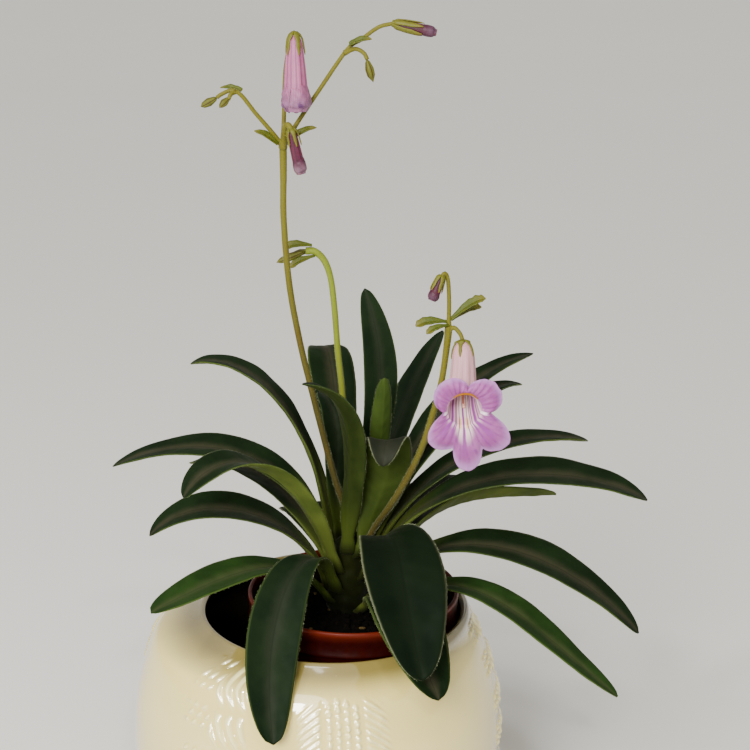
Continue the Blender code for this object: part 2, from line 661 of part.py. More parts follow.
# The front stalk, with the open flower
FRONT_FORK = mm(41.1, -17.5, 183.2)
stalk(
    "stalk_front",
    trunk=[on_crown(-36, 99.4, STALK_RADIUS * 1.2), mm(16.2, -7.0, 107.3), mm(19.1, -10.7, 115.4),
           mm(23.5, -14.2, 123.6),
           mm(28.2, -15.6, 132.3), mm(33.1, -17.2, 143.6), mm(36.4, -17.6, 154.5), mm(39.1, -17.5, 165.6),
           mm(40.6, -17.5, 177), FRONT_FORK],
    branches=[
        [FRONT_FORK + mm(0, 0, -1.5), mm(41.2, -17.1, 191.4), mm(40.9, -16.9, 197), mm(39.9, -17.3, 198.8),
         mm(39.0, -17.7, 197.8)],
        [FRONT_FORK + mm(0, 0, -1.5), mm(42.8, -18.1, 183.4), mm(44.6, -18.9, 181.6), mm(45.1, -19.6, 179.6)],
    ],
)
bract("front_bract_left", mm(39.6, -17.4, 184.2), mm(31.2, -18.4, 183.2), 3.2)
bract("front_bract_right", mm(42.8, -15.3, 184.8), mm(51.0, -13.2, 187.8), 3.4)
flower_bud("front_young_bud_left", mm(40.0, -18.9, 183.4), mm(34.4, -21, 181.6),
           profile=((0, 0), (0.12, 0.6), (0.5, 1.1), (0.85, 0.8), (1, 0)), material=bract_green)
flower_bud("front_young_bud_right", mm(42.6, -17.6, 185.6), mm(52.0, -17.6, 191.6),
           profile=((0, 0), (0.1, 0.8), (0.5, 1.4), (0.85, 1.1), (1, 0)), material=bract_green)
flower_bud("front_top_bud", mm(38.4, -18.0, 197.2), mm(35.9, -19.2, 190.0),
           profile=((0, 0), (0.1, 0.9), (0.4, 1.6), (0.75, 1.9), (1, 0)), calyx=4.4, material=bud_maroon)
open_flower()

# The young stalk behind, bent over at its end
stalk(
    "stalk_young",
    trunk=[on_crown(89, 105, STALK_RADIUS * 1.2), mm(10.3, 8.6, 116), mm(9.9, 11, 128), mm(9.1, 11.6, 140),
           mm(8.5, 12, 152.7), mm(7.2, 12, 166), mm(6.4, 12, 178), mm(5.2, 12, 189.4), mm(3.2, 12, 195.6),
           mm(0.2, 12, 198.6), mm(-2.6, 12, 198.8)],
    branches=[],
)
bract("young_bract_upper", mm(-1.6, 11.2, 200.6), mm(-9.4, 9.8, 200.0), 2.6)
bract("young_bract_lower", mm(-0.6, 10.8, 197.0), mm(-7.6, 8.6, 194.0), 2.4)
flower_bud("young_bud_first", mm(-3.0, 12, 198.6), mm(-11.8, 11.4, 195.2),
           profile=((0, 0), (0.1, 0.9), (0.5, 1.3), (0.85, 0.9), (1, 0)), material=bract_green)
flower_bud("young_bud_second", mm(-2.0, 13.6, 198.4), mm(-7.0, 16.4, 196.6),
           profile=((0, 0), (0.12, 0.7), (0.5, 1.1), (0.85, 0.8), (1, 0)), material=bract_green)
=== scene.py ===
"""Potted primulina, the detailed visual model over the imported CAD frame. Metres, +Z up.

The leaves, stalks and flowers follow the same lines as the CAD, on finer meshes that hold the veins, ribs,
folds and hairs. Most meshes carry point attributes, such as along, across and under, for their materials.
"""

import math
import random

import bmesh
import bpy
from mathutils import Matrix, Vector, noise


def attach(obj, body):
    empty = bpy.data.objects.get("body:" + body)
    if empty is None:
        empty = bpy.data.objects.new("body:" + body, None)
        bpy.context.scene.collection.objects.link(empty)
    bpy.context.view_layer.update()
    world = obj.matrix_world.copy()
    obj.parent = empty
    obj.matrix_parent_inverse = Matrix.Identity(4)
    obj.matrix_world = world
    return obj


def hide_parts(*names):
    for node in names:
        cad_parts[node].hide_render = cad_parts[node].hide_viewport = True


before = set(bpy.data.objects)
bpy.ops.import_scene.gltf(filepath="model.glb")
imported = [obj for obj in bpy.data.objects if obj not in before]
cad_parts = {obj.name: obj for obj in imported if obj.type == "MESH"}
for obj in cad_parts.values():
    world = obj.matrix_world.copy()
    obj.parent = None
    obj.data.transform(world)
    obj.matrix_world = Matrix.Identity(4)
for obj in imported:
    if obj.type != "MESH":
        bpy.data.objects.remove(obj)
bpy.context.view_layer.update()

MM = 0.001
CLEARANCE = 0.3 * MM  # the CAD keeps this gap between pieces that touch
AXIS = 0.01 * MM  # the radius of the ring that closes a turned shape on its axis

# Camera, from the photograph's framing
LENS = 90.05
CAMERA_AIM = Vector((19, 0, 162)) * MM
CAMERA_PITCH = 18
CAMERA_DISTANCE = 585 * MM

# Floor and light
FLOOR_HALF = 6.0
WORLD_STRENGTH = 0.56
WORLD_COLOUR = (1.0, 0.97, 0.92)
SUN_STRENGTH = 2.2
SUN_SPREAD = 50  # in degrees, as wide as a window seen from close by
SUN_FROM = (-118, 46)  # azimuth and rise
SUN_COLOUR = (1.0, 0.98, 0.93)
LIGHT_AIM = Vector((0.01, 0, 0.09))
LAMP_DISTANCE = 0.85
LAMPS = (  # name, azimuth, rise, power, size and colour
    ("window_pane", -107, 29, 8.0, 0.28, (1.0, 0.98, 0.94)),
    ("small_lamp", -82, 40, 1.3, 0.035, (1, 1, 1)),
    ("left_lamp", -150, 48, 1.5, 0.05, (1, 1, 1)),
)

# Cachepot
POT_HEIGHT = 84 * MM
POT_FLOOR = 7 * MM
POT_WALL = 4 * MM
POT_LEAN = 5.8 * MM
POT_LEAN_FROM = 76.5 * MM  # below this height the body stands straight
POT_OUTSIDE = (  # radius and height, from the lip down
    (41.3, 82.6), (41.7, 83.6), (42.8, 84.0), (43.8, 83.2), (46.9, 80.4), (52.4, 75.5),
    (55.7, 67.5), (58.8, 56), (60, 44), (60, 34), (58.4, 22), (54.5, 11.5), (48, 4.2), (41, 0.8), (39, 0),
)
RELIEF_PANELS = 3
RELIEF_CENTRE = -80  # azimuth of one set of beads, in degrees
RELIEF_TOP = 78.2 * MM  # of the beads and the strokes
RELIEF_FOOT = 30 * MM
RELIEF_GIRTH = 57 * MM  # radius at which the relief's widths are measured
BEAD_GAP = 2.9 * MM
BEAD_PITCH = 2.2 * MM
BEAD_RISE = 1.1 * MM
STROKE_PITCH = 2.2 * MM
STROKE_RISE = 1.0 * MM
STROKES_START = 6.7 * MM  # from the middle of the beads
STROKES_END = 15.5 * MM
TUFT_TOP = 82.3 * MM
TUFT_FROM = -44 * MM
TUFT_TO = -30 * MM
TUFT_TIER = 12 * MM
FLUTE_RISE = 1.1 * MM
FLUTE_PITCH = 3.9 * MM
DOTS_FROM = -53 * MM
DOT_PITCH = 3.4 * MM
RELIEF_INNER = 44.5 * MM  # the relief stays outside this radius
POT_WAIST = 9  # the profile's point below which the glaze is plain
ORNAMENT_STEP = 0.52 * MM  # between the cachepot's rings, down to its waist
PLAIN_STEP = 2 * MM
POT_DISHED = 0.9 * MM  # the middle of its bottom stands this far off the table
POT_INSIDE_DROP = 1.5 * MM  # the inside follows the outside's shape this much lower
POT_LIP_DEPTH = 8 * MM  # and ends this far below the top

# Nursery pot, soil and crown
NURSERY_X = 12 * MM
NURSERY_TOP = 89.5 * MM
NURSERY_BOTTOM = POT_FLOOR + CLEARANCE
NURSERY_WALL = 1.3 * MM
NURSERY_RIM_RADIUS = 34 * MM
NURSERY_RIM_HEIGHT = 8.5 * MM
NURSERY_FOOT_RADIUS = 24 * MM
NURSERY_LIP = 0.65 * MM  # radius of its rolled edge
NURSERY_STEPS = 144
DRAIN_RADIUS = 1.8 * MM
DRAIN_RING = 15 * MM
DRAIN_COUNT = 6
SOIL_TOP = 83.5 * MM
SOIL_LUMP = 0.9 * MM
SOIL_DOME = 0.6 * MM
SOIL_RINGS = 46
SOIL_STEPS = 150
CRUMB_COUNT = 420
CHIP_COUNT = 26
CROWN_X = 10.5 * MM
CROWN_PROFILE = (  # height and radius, from the foot up
    (72, 4.2), (78, 6.6), (84, 7.5), (90, 7.0), (96, 6.2), (102, 5.2), (106.8, 4.0), (108.5, 2.6),
)
CROWN_GRID = (90, 64)  # rows and columns, as in every grid

# Leaves
LEAF_THICK = 1.3 * MM
LEAF_ROWS = 96
LEAF_COLUMNS = 22
PETIOLE_WIDTH = 3.5 * MM
TIP_WIDTH = 0.5 * MM
MIDRIB_DEPTH = 0.3 * MM
MIDRIB_REACH = 0.9 * MM  # to either side, where the rib and its groove fade out
VEIN_DEPTH = 0.05 * MM
VEIN_COUNT = 13
VEIN_SWEEP = 1.1  # how far the veins run forward on their way to the margin, in the gap between two
MARGIN_WAVE = 0.35 * MM
MARGIN_JAG = 0.012  # how uneven the margin's outline is, as a share of half the width
CURL_STEPS = 12
GROWN_IN = 1.2 * MM  # how far a stalk or a pedicel reaches into what it grows from
FOOT_ROWS = 6
FOOT_DROP = 2.4 * MM  # a leaf's foot runs on below its start and bends into the crown
FOOT_DEPTH = 3 * MM
LEAF_FOOT_COLOUR = (0.005, 0.006, 0.001)  # in the crown's shade
MARGIN_HAIR = 0.5 * MM
MARGIN_HAIR_PITCH = 0.22 * MM
HAIR_RADIUS = 0.028 * MM

# Stalks and flowers
STALK_SIDES = 20
STALK_STEP = 0.8 * MM
STALK_RADIUS = 1.0 * MM
STALK_TOP_RADIUS = 0.95 * MM
BRANCH_RADIUS = 0.68 * MM
PEDICEL_RADIUS = 0.6 * MM
STALK_HAIR = 0.45 * MM
STALK_HAIR_PITCH = 0.035 * MM
STEM_RIPPLE = 0.04
BRACT_GRID = (44, 12)
BRACT_THICK = 0.5 * MM
LOBE_COUNT = 5
SEPAL_COUNT = 5
SEPAL_GRID = (30, 8)
SEPAL_THICK = 0.35 * MM
SEPAL_BASE = 0.8 * MM
BUD_GRID = (70, 80)
FOLDED_GRID = (30, 24)
FOLDED_THICK = 0.22 * MM
PROFILE_BLUR = 0.035  # a bud's profile is rounded off over this share of its length
FACE_GRID = (84, 220)
PETAL_THICK = 0.4 * MM
TUBE_PROFILE = ((0, 1.3), (0.05, 2.6), (0.12, 3.1), (0.3, 3.45), (0.55, 3.9), (0.8, 4.6), (1, 5.2))
MOUTH_RADIUS = 5.2 * MM
FACE_DISH = 0.8 * MM
OPEN_CALYX = 3.7 * MM
THROAT_SHIFT = -1.3 * MM
PETAL_VEINS = 37  # around the open flower
PISTIL_RADIUS = 0.35 * MM
STIGMA_RADIUS = 0.45 * MM
ANTHER_RADIUS = 0.32 * MM
PISTIL_LIFT = Vector((0, 0, 0.4 * MM))
# Each lobe of the open face: the notch before it, its tip and the notch after it, each with an angle and a
# reach in mm. A notch's third value says how hollow the outline is beside it.
FACE_LOBES = (
    ((90, 7.2, 0.8), (134, 12.1), (185, 7.5, 0.8)),
    ((185, 7.5, 2.0), (228, 16.2), (251, 13.4, 1.0)),
    ((251, 13.4, 0.95), (270, 20.3), (289, 13.3, 0.95)),
    ((289, 13.3, 0.8), (314, 16.8), (352, 6.8, 1.8)),
    ((352, 6.8, 0.8), (405, 11.5), (450, 7.2, 0.8)),
)
LOW_ANGLE = 270  # of the mouth's lowest point
LINE_SHIFT = 2.5  # in degrees, because the noise that bends the lines also moves them
# The lines in the throat and on the lobes: degrees from the lowest point, half a width and where it ends
THROAT_LINES = ((0, 4.4), (-25, 2.8), (25, 2.8), (-42, 3.0), (42, 3.0), (-60, 2.8), (60, 2.8), (-76, 2.4),
                (76, 2.4))
LOBE_LINES = ((0, 4.5, 0.92), (-14, 2.4, 0.78), (14, 2.4, 0.78), (-44, 7, 0.92), (-59, 4, 0.8), (-30, 3, 0.8),
              (46, 7, 0.92), (61, 4, 0.8), (32, 3, 0.8))
NOTCH_ANGLES = (187, 352)  # of the pale notches at the sides

MIX_A, MIX_B, MIX_RESULT = 6, 7, 2  # the Mix node's sockets for colours
hair_faces = {"leaf": ([], []), "stalk": ([], [])}


# Shapes


def mm(x, y, z):
    """A point given in millimetres."""
    return Vector((x * MM, y * MM, z * MM))


def clamp(value, low=0.0, high=1.0):
    return min(max(value, low), high)


def smoothstep(t):
    t = clamp(t)
    return t * t * (3 - 2 * t)


def hump(x, half):
    """1 at nothing, down to 0 at half either side, round on top."""
    return max(1 - (x / half) ** 2, 0.0) ** 0.75 if abs(x) < half else 0.0


def heading(azimuth, rise):
    """A unit vector at this azimuth and this angle above the horizon, both in degrees."""
    turn, lift = math.radians(azimuth), math.radians(rise)
    return Vector((math.cos(lift) * math.cos(turn), math.cos(lift) * math.sin(turn), math.sin(lift)))


def around(side, up, angle):
    """The way at this angle, in radians, from side towards up."""
    return side * math.cos(angle) + up * math.sin(angle)


def on_ring(x, height, azimuth, radius):
    """The point this far out from the upright line at x, at an azimuth in degrees."""
    return Vector((x, 0, height)) + heading(azimuth, 0) * radius


def bumps(x, y, z):
    """Soft noise, from about -1 to 1."""
    return noise.noise(Vector((x, y, z)))


def bezier(points, t):
    a, b, c, d = points
    s = 1 - t
    return a * s**3 + b * (3 * s * s * t) + c * (3 * s * t * t) + d * t**3


def bezier_slope(points, t):
    a, b, c, d = points
    s = 1 - t
    return ((b - a) * (s * s) + (c - b) * (2 * s * t) + (d - c) * (t * t)).normalized()


def cross_axes(along):
    """Two unit vectors square to this one, the second pointing up as far as it can."""
    side = along.cross(Vector((0, 0, 1)))
    side = side.normalized() if side.length > 1e-4 else Vector((1, 0, 0))
    return side, side.cross(along).normalized()


def through(points, step=STALK_STEP):
    """A smooth line through given points, as points about a step apart."""
    ends = [points[0] * 2 - points[1], *points, points[-1] * 2 - points[-2]]
    line = []
    for a, b, c, d in zip(ends, ends[1:], ends[2:], ends[3:]):
        count = max(2, round((c - b).length / step))
        for i in range(count):
            t = i / count
            bend = (2 * a - 5 * b + 4 * c - d) * t**2 + (3 * b - 3 * c + d - a) * t**3
            line.append(b + ((c - a) * t + bend) / 2)
    return [*line, points[-1].copy()]


def interpolate(points, x):
    """The value at x on the straight lines through (x, value) points, held at both ends."""
    x = clamp(x, points[0][0], points[-1][0])
    for (x0, y0), (x1, y1) in zip(points, points[1:]):
        if x <= x1:
            return y0 + (y1 - y0) * (x - x0) / (x1 - x0)


def profile_radius(profile, share):
    """The radius, in metres, at this share of the length, from (share, radius in mm) points, rounded off."""
    share = clamp(share)
    return sum(interpolate(profile, share + shift) for shift in (-PROFILE_BLUR, 0, PROFILE_BLUR)) / 3 * MM


# Meshes


def add_object(name, data, place=(0, 0, 0), turn=(0, 0, 0)):
    made = bpy.data.objects.new(name, data)
    made.location = place
    made.rotation_euler = turn
    bpy.context.scene.collection.objects.link(made)
    return made


def add_part(name, mesh, material, nodes=(), smooth=True):
    """A piece of the object that rides on the one body and stands for these CAD nodes. Its slot is the
    material's own."""
    mesh.materials.append(material)
    if smooth:
        mesh.shade_smooth()
    made = add_object(name, mesh)
    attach(made, "root")
    if nodes:
        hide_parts(*nodes)
    return made


def add_piece(name, points, faces, material, nodes=(), attributes=None, smooth=True):
    """A piece from its points and faces, with a value on each point for each attribute."""
    mesh = bpy.data.meshes.new(name)
    mesh.from_pydata(points, [], faces)
    for key, values in (attributes or {}).items():
        mesh.attributes.new(key, "FLOAT", "POINT").data.foreach_set("value", values)
    return add_part(name, mesh, material, nodes, smooth)


def mesh_from(work, name):
    """An ordinary mesh from an editable one, which is freed."""
    mesh = bpy.data.meshes.new(name)
    work.to_mesh(mesh)
    work.free()
    return mesh


def combine(target, other, operation):
    """Changes the target's own mesh by the other's volume and deletes the other."""
    change = target.modifiers.new("change", "BOOLEAN")
    change.operation = operation
    change.object = other
    bpy.context.view_layer.update()
    graph = bpy.context.evaluated_depsgraph_get()
    mesh = bpy.data.meshes.new_from_object(target.evaluated_get(graph))
    target.modifiers.clear()
    target.data = mesh
    bpy.data.objects.remove(other)


def capped_faces(rows, columns, flipped=False):
    """The faces between rings of points that close on themselves, and one over each end."""
    faces = []
    for i in range(rows - 1):
        for j in range(columns):
            a, b = i * columns + j, i * columns + (j + 1) % columns
            faces.append((a, b, b + columns, a + columns))
    faces.append(tuple(range(columns))[::-1])
    faces.append(tuple(range((rows - 1) * columns, rows * columns)))
    return [face[::-1] for face in faces] if flipped else faces


class Shell:
    """Points, faces and attributes of thin closed walls, collected into one mesh."""

    def __init__(self):
        self.points, self.faces = [], []
        self.attributes = {"along": [], "across": [], "under": []}

    def add(self, rows, columns, place, thick, closed=False):
        """A wall whose middle is place(u, v), with u and v from 0 to 1. Closed joins v = 1 to v = 0."""

        def thinned(away):
            """The share of the thickness that is left this far from a free edge."""
            return min(1.0, 0.25 + 6 * away)

        across = columns if closed else columns + 1
        grid = [[place(i / rows, j / columns) for j in range(across)] for i in range(rows + 1)]
        first = len(self.points)
        for under, sign in ((0.0, 0.5), (1.0, -0.5)):
            for i in range(rows + 1):
                for j in range(across):
                    low, high = grid[max(i - 1, 0)][j], grid[min(i + 1, rows)][j]
                    left = grid[i][j - 1] if j or closed else grid[i][j]
                    right = grid[i][(j + 1) % across] if j + 1 < across or closed else grid[i][j]
                    normal = (high - low).cross(right - left).normalized()
                    u, v = i / rows, j / columns
                    taper = (1.0 if closed else thinned(min(v, 1 - v))) * thinned(1 - u)
                    self.points.append(grid[i][j] + normal * (thick * sign * taper))
                    self.attributes["along"].append(u)
                    self.attributes["across"].append(v)
                    self.attributes["under"].append(under)
        layer = (rows + 1) * across
        steps = columns if closed else across - 1
        for i in range(rows):
            for j in range(steps):
                a, b = i * across + j, i * across + (j + 1) % across
                top = [first + a, first + a + across, first + b + across, first + b]
                self.faces.append(top)
                self.faces.append([layer + corner for corner in reversed(top)])
        for i in (0, rows):
            for j in range(steps):
                a, b = first + i * across + j, first + i * across + (j + 1) % across
                rim = [a, b, b + layer, a + layer]
                self.faces.append(rim if i == 0 else rim[::-1])
        if not closed:
            for j in (0, across - 1):
                for i in range(rows):
                    a, b = first + i * across + j, first + (i + 1) * across + j
                    rim = [a, a + layer, b + layer, b]
                    self.faces.append(rim if j == 0 else rim[::-1])

    def make(self, name, material, nodes=()):
        add_piece(name, self.points, self.faces, material, nodes, self.attributes)


def add_hair(kind, root, direction, length, radius=HAIR_RADIUS):
    """A fine hair: a spike on a triangle, kept with the others of its kind until they are made one piece."""
    points, faces = hair_faces[kind]
    side, up = cross_axes(direction)
    first = len(points)
    for i in range(3):
        angle = math.tau * i / 3
        points.append(root + around(side, up, angle) * radius)
    points.append(root + direction * length)
    faces.extend([(first, first + 1, first + 3), (first + 1, first + 2, first + 3),
                  (first + 2, first, first + 3), (first + 2, first + 1, first)])


# Materials


class Paint:
    """A Principled material in the making. Its methods add shader nodes and give back their outputs."""

    def __init__(self, name, roughness=0.5, **sockets):
        """The values that are the same all over the surface are set on the shader's own sockets."""
        self.material = bpy.data.materials.new(name)
        self.material.use_nodes = True
        self.tree = self.material.node_tree
        self.shader = self.tree.nodes["Principled BSDF"]
        self.shader.inputs["Roughness"].default_value = roughness
        for key, value in sockets.items():
            self.shader.inputs[key.replace("_", " ")].default_value = value

    def node(self, kind, inputs=None, **settings):
        """Adds a node. Each input is a value or another node's output."""
        made = self.tree.nodes.new(kind)
        for key, value in settings.items():
            setattr(made, key, value)
        for socket, value in (inputs or {}).items():
            if isinstance(value, bpy.types.NodeSocket):
                self.tree.links.new(value, made.inputs[socket])
            else:
                made.inputs[socket].default_value = value
        return made

    def maths(self, operation, a, b=0.0):
        return self.node("ShaderNodeMath", {0: a, 1: b}, operation=operation).outputs[0]

    def times(self, a, b):
        return self.maths("MULTIPLY", a, b)

    def plus(self, a, b):
        return self.maths("ADD", a, b)

    def attributes(self, *names):
        return [self.node("ShaderNodeAttribute", attribute_name=name).outputs["Fac"] for name in names]

    def place(self, stretch=(1, 1, 1)):
        where = self.node("ShaderNodeTexCoord").outputs["Object"]
        return self.node("ShaderNodeMapping", {"Vector": where, "Scale": stretch}).outputs[0]

    def height(self):
        return self.node("ShaderNodeSeparateXYZ", {0: self.place()}).outputs["Z"]

    def cloud(self, scale, detail=3.0, rough=0.55, stretch=(1, 1, 1)):
        """Soft procedural noise, with its scale in cycles a metre."""
        inputs = {"Vector": self.place(stretch), "Scale": scale, "Detail": detail, "Roughness": rough}
        return self.node("ShaderNodeTexNoise", inputs).outputs["Fac"]

    def patches(self, scale, detail, low, high, to_low=0.0, to_high=1.0):
        """Soft noise, mapped from one range to another."""
        return self.between(self.cloud(scale, detail), low, high, to_low, to_high)

    def between(self, value, low, high, to_low=0.0, to_high=1.0):
        """Maps a value from one range to another, smooth and held at the ends."""
        inputs = {"Value": value, "From Min": low, "From Max": high, "To Min": to_low, "To Max": to_high}
        return self.node("ShaderNodeMapRange", inputs, interpolation_type="SMOOTHSTEP").outputs[0]

    def near(self, turns, angle, half):
        """1 where a value, in turns, is at this angle in degrees, down to 0 at half degrees either side."""
        off = self.maths("ABSOLUTE", self.maths("SUBTRACT", turns, angle / 360))
        return self.between(off, half / 360, half / 360 * 0.35)

    def layers(self, base, *layers):
        """Puts (share, colour) layers over a base. A colour is three values or another node's output."""
        for share, colour in layers:
            a, b = ((*each, 1) if isinstance(each, tuple) else each for each in (base, colour))
            mixed = self.node("ShaderNodeMix", {0: share, MIX_A: a, MIX_B: b}, data_type="RGBA")
            base = mixed.outputs[MIX_RESULT]
        return base

    def link(self, socket, output):
        self.tree.links.new(output, self.shader.inputs[socket])

    def finish(self, colour, height, strength, depth):
        """Sets the colour and the bump, and gives back the material."""
        bump = self.node("ShaderNodeBump", {"Height": height, "Strength": strength, "Distance": depth})
        self.link("Base Color", colour)
        self.link("Normal", bump.outputs[0])
        return self.material


def ceramic_material():
    """Cream glaze, paler on the raised places, with painted shade and a painted reflection of the leaves
    darkening it towards the mouth, and painted shade all over the inside.
    """
    paint = Paint("cream_glaze", Coat_Weight=1.0, Coat_Roughness=0.03, Coat_IOR=2.0)
    raised, inside = paint.attributes("relief", "inside")
    # Painted shade and painted reflection of the dark leaves: the glaze turns dark olive towards the mouth.
    painted_shade_near_mouth = paint.between(paint.height(), RELIEF_TOP - 3 * MM, RELIEF_TOP + 4 * MM, 0.0, 0.92)
    colour = paint.layers(
        (0.79, 0.63, 0.19),
        (paint.cloud(22, 2), (0.87, 0.73, 0.25)),
        (painted_shade_near_mouth, (0.13, 0.095, 0.018)),
        (paint.between(raised, -0.1, 0.9), (0.97, 0.87, 0.38)),
        (paint.patches(900, 1, 0.72, 0.8, 0.0, 0.3), (0.50, 0.40, 0.24)),
        # Painted shade: the inside of the cachepot is near black.
        (paint.between(inside, 0.35, 0.75), (0.020, 0.016, 0.010)),
    )
    paint.link("Roughness", paint.patches(60, 3, 0.3, 0.7, 0.09, 0.17))
    return paint.finish(colour, paint.cloud(130, 2), 0.12, 0.3 * MM)


def plastic_material():
    """Terracotta-coloured plastic, near black with painted shade and lighter at the rim's top edge with
    painted light.
    """
    paint = Paint("terracotta_plastic", Specular_IOR_Level=0.1)
    # Painted shade over the whole pot, and painted light over the top 4 mm of the rim.
    colour = paint.layers(
        (0.017, 0.001, 0.0006),
        (paint.patches(160, 5, 0.45, 0.75), (0.026, 0.002, 0.0008)),
        (paint.between(paint.height(), NURSERY_TOP - 4 * MM, NURSERY_TOP, 0.0, 0.7), (0.125, 0.013, 0.0035)),
    )
    paint.link("Roughness", paint.patches(300, 4, 0.3, 0.7, 0.30, 0.46))
    return paint.finish(colour, paint.cloud(1400, 3), 0.15, 0.06 * MM)


def soil_material(name, dark, light, low):
    paint = Paint(name, 0.95, Specular_IOR_Level=0.05)
    fleck = paint.between(paint.cloud(700, 6, 0.7), low, 0.75)
    return paint.finish(paint.layers(dark, (fleck, light)), paint.cloud(1100, 8, 0.7), 0.9, 0.5 * MM)


def leaf_material(name, top_dark, top_light, streak, under_dark, under_light, base, margin, edge=0.95):
    """A velvety leaf: a painted sheen as a mottled grey streak along its midrib and in fine speckles, a pale
    margin and a bright underside.
    """
    paint = Paint(name, Sheen_Weight=0.025, Sheen_Roughness=0.4, Sheen_Tint=(0.8, 0.78, 0.6, 1),
                  Specular_IOR_Level=0.06)
    along, across, under = paint.attributes("along", "across", "under")
    out = paint.maths("ABSOLUTE", across)
    wavy = paint.plus(out, paint.times(paint.cloud(110, 4), 0.5))
    fuzz = paint.cloud(2600, 4, 0.7)
    top = paint.layers(
        top_dark,
        (paint.patches(70, 4, 0.35, 0.7), top_light),
        # Painted sheen: the streak colour along the midrib, kept off the groove itself, and in fine speckles.
        (paint.between(wavy, 0.72, 0.16, 0.0, 0.9), streak),
        (paint.between(out, 0.06, 0.0, 0.0, 0.4), top_dark),
        (paint.between(fuzz, 0.55, 0.8, 0.0, 0.5), streak),
        (paint.between(out, edge - 0.05, edge + 0.02, 0.0, 0.9), margin),
        (paint.between(paint.plus(along, paint.times(out, -0.06)), 0.32, 0.06), base),
    )
    below = paint.layers(
        under_dark,
        (paint.patches(60, 3, 0.3, 0.7), under_light),
        (paint.between(out, 0.2, 0.0, 0.0, 0.3), under_light),
        (paint.between(along, 0.3, 0.05), base),
    )
    colour = paint.layers(top, (under, below), (paint.between(along, 0.055, 0.0, 0.0, 0.8), LEAF_FOOT_COLOUR))
    paint.link("Roughness", paint.patches(120, 3, 0.3, 0.7, 0.52, 0.72))
    return paint.finish(colour, fuzz, 0.35, 0.12 * MM)


def stem_material(name, low, high, blush, specular=0.2):
    """A round green stem whose colour changes with its height, flushed in places."""
    paint = Paint(name, 0.6, Sheen_Weight=0.04, Specular_IOR_Level=specular)
    (along,) = paint.attributes("along")
    colour = paint.layers(
        low,
        (paint.between(along, 0.12, 0.75), high),
        (paint.patches(90, 3, 0.5, 0.72, 0.0, 0.55), blush),
    )
    return paint.finish(colour, paint.cloud(1500, 3, 0.6, (1, 1, 0.25)), 0.3, 0.12 * MM)


def green_material(name, dark, light, tip):
    """Bracts and sepals: green with fine veins, of another colour towards the tip."""
    paint = Paint(name, Specular_IOR_Level=0.25, Subsurface_Weight=0.06)
    along, across = paint.attributes("along", "across")
    vein = paint.maths("SINE", paint.times(across, 44.0))
    colour = paint.layers(
        dark,
        (paint.cloud(500, 3), light),
        (paint.between(along, 0.55, 1.0, 0.0, 0.75), tip),
        (paint.between(vein, 0.4, 1.0, 0.0, 0.35), dark),
    )
    return paint.finish(colour, paint.cloud(1800, 3), 0.35, 0.1 * MM)


def bud_material(name, dark, light, seam):
    """A young bud, closed in its own green sepals, with a flushed seam between each two."""
    paint = Paint(name, Specular_IOR_Level=0.25)
    along, across = paint.attributes("along", "across")
    wave = paint.maths("COSINE", paint.times(across, math.tau * SEPAL_COUNT))
    colour = paint.layers(
        dark,
        (paint.cloud(600, 3), light),
        (paint.between(along, 0.7, 1.0, 0.0, 0.6), light),
        (paint.between(wave, -0.72, -0.95), seam),
    )
    return paint.finish(colour, paint.cloud(1800, 3), 0.35, 0.1 * MM)


def closed_petal_material(name, pale, deep, end, patch, ribs):
    """A closed corolla: pale, with deeper ribs along it, and patchy where its lobes are folded."""
    paint = Paint(name, Specular_IOR_Level=0.25, Subsurface_Weight=0.1)
    along, across = paint.attributes("along", "across")
    waver = paint.times(paint.cloud(130, 3), 1.4)
    wave = paint.maths("SINE", paint.plus(paint.times(across, math.tau * ribs), waver))
    flushed = paint.layers(end, (paint.patches(260, 3, 0.48, 0.68, 0.0, 0.8), patch))
    colour = paint.layers(
        pale,
        (paint.between(wave, 0.0, 1.0, 0.0, 0.85), deep),
        (paint.patches(400, 4, 0.35, 0.7, 0.0, 0.3), deep),
        (paint.between(along, 0.68, 0.9), flushed),
    )
    return paint.finish(colour, paint.cloud(900, 4, 0.6), 0.3, 0.15 * MM)


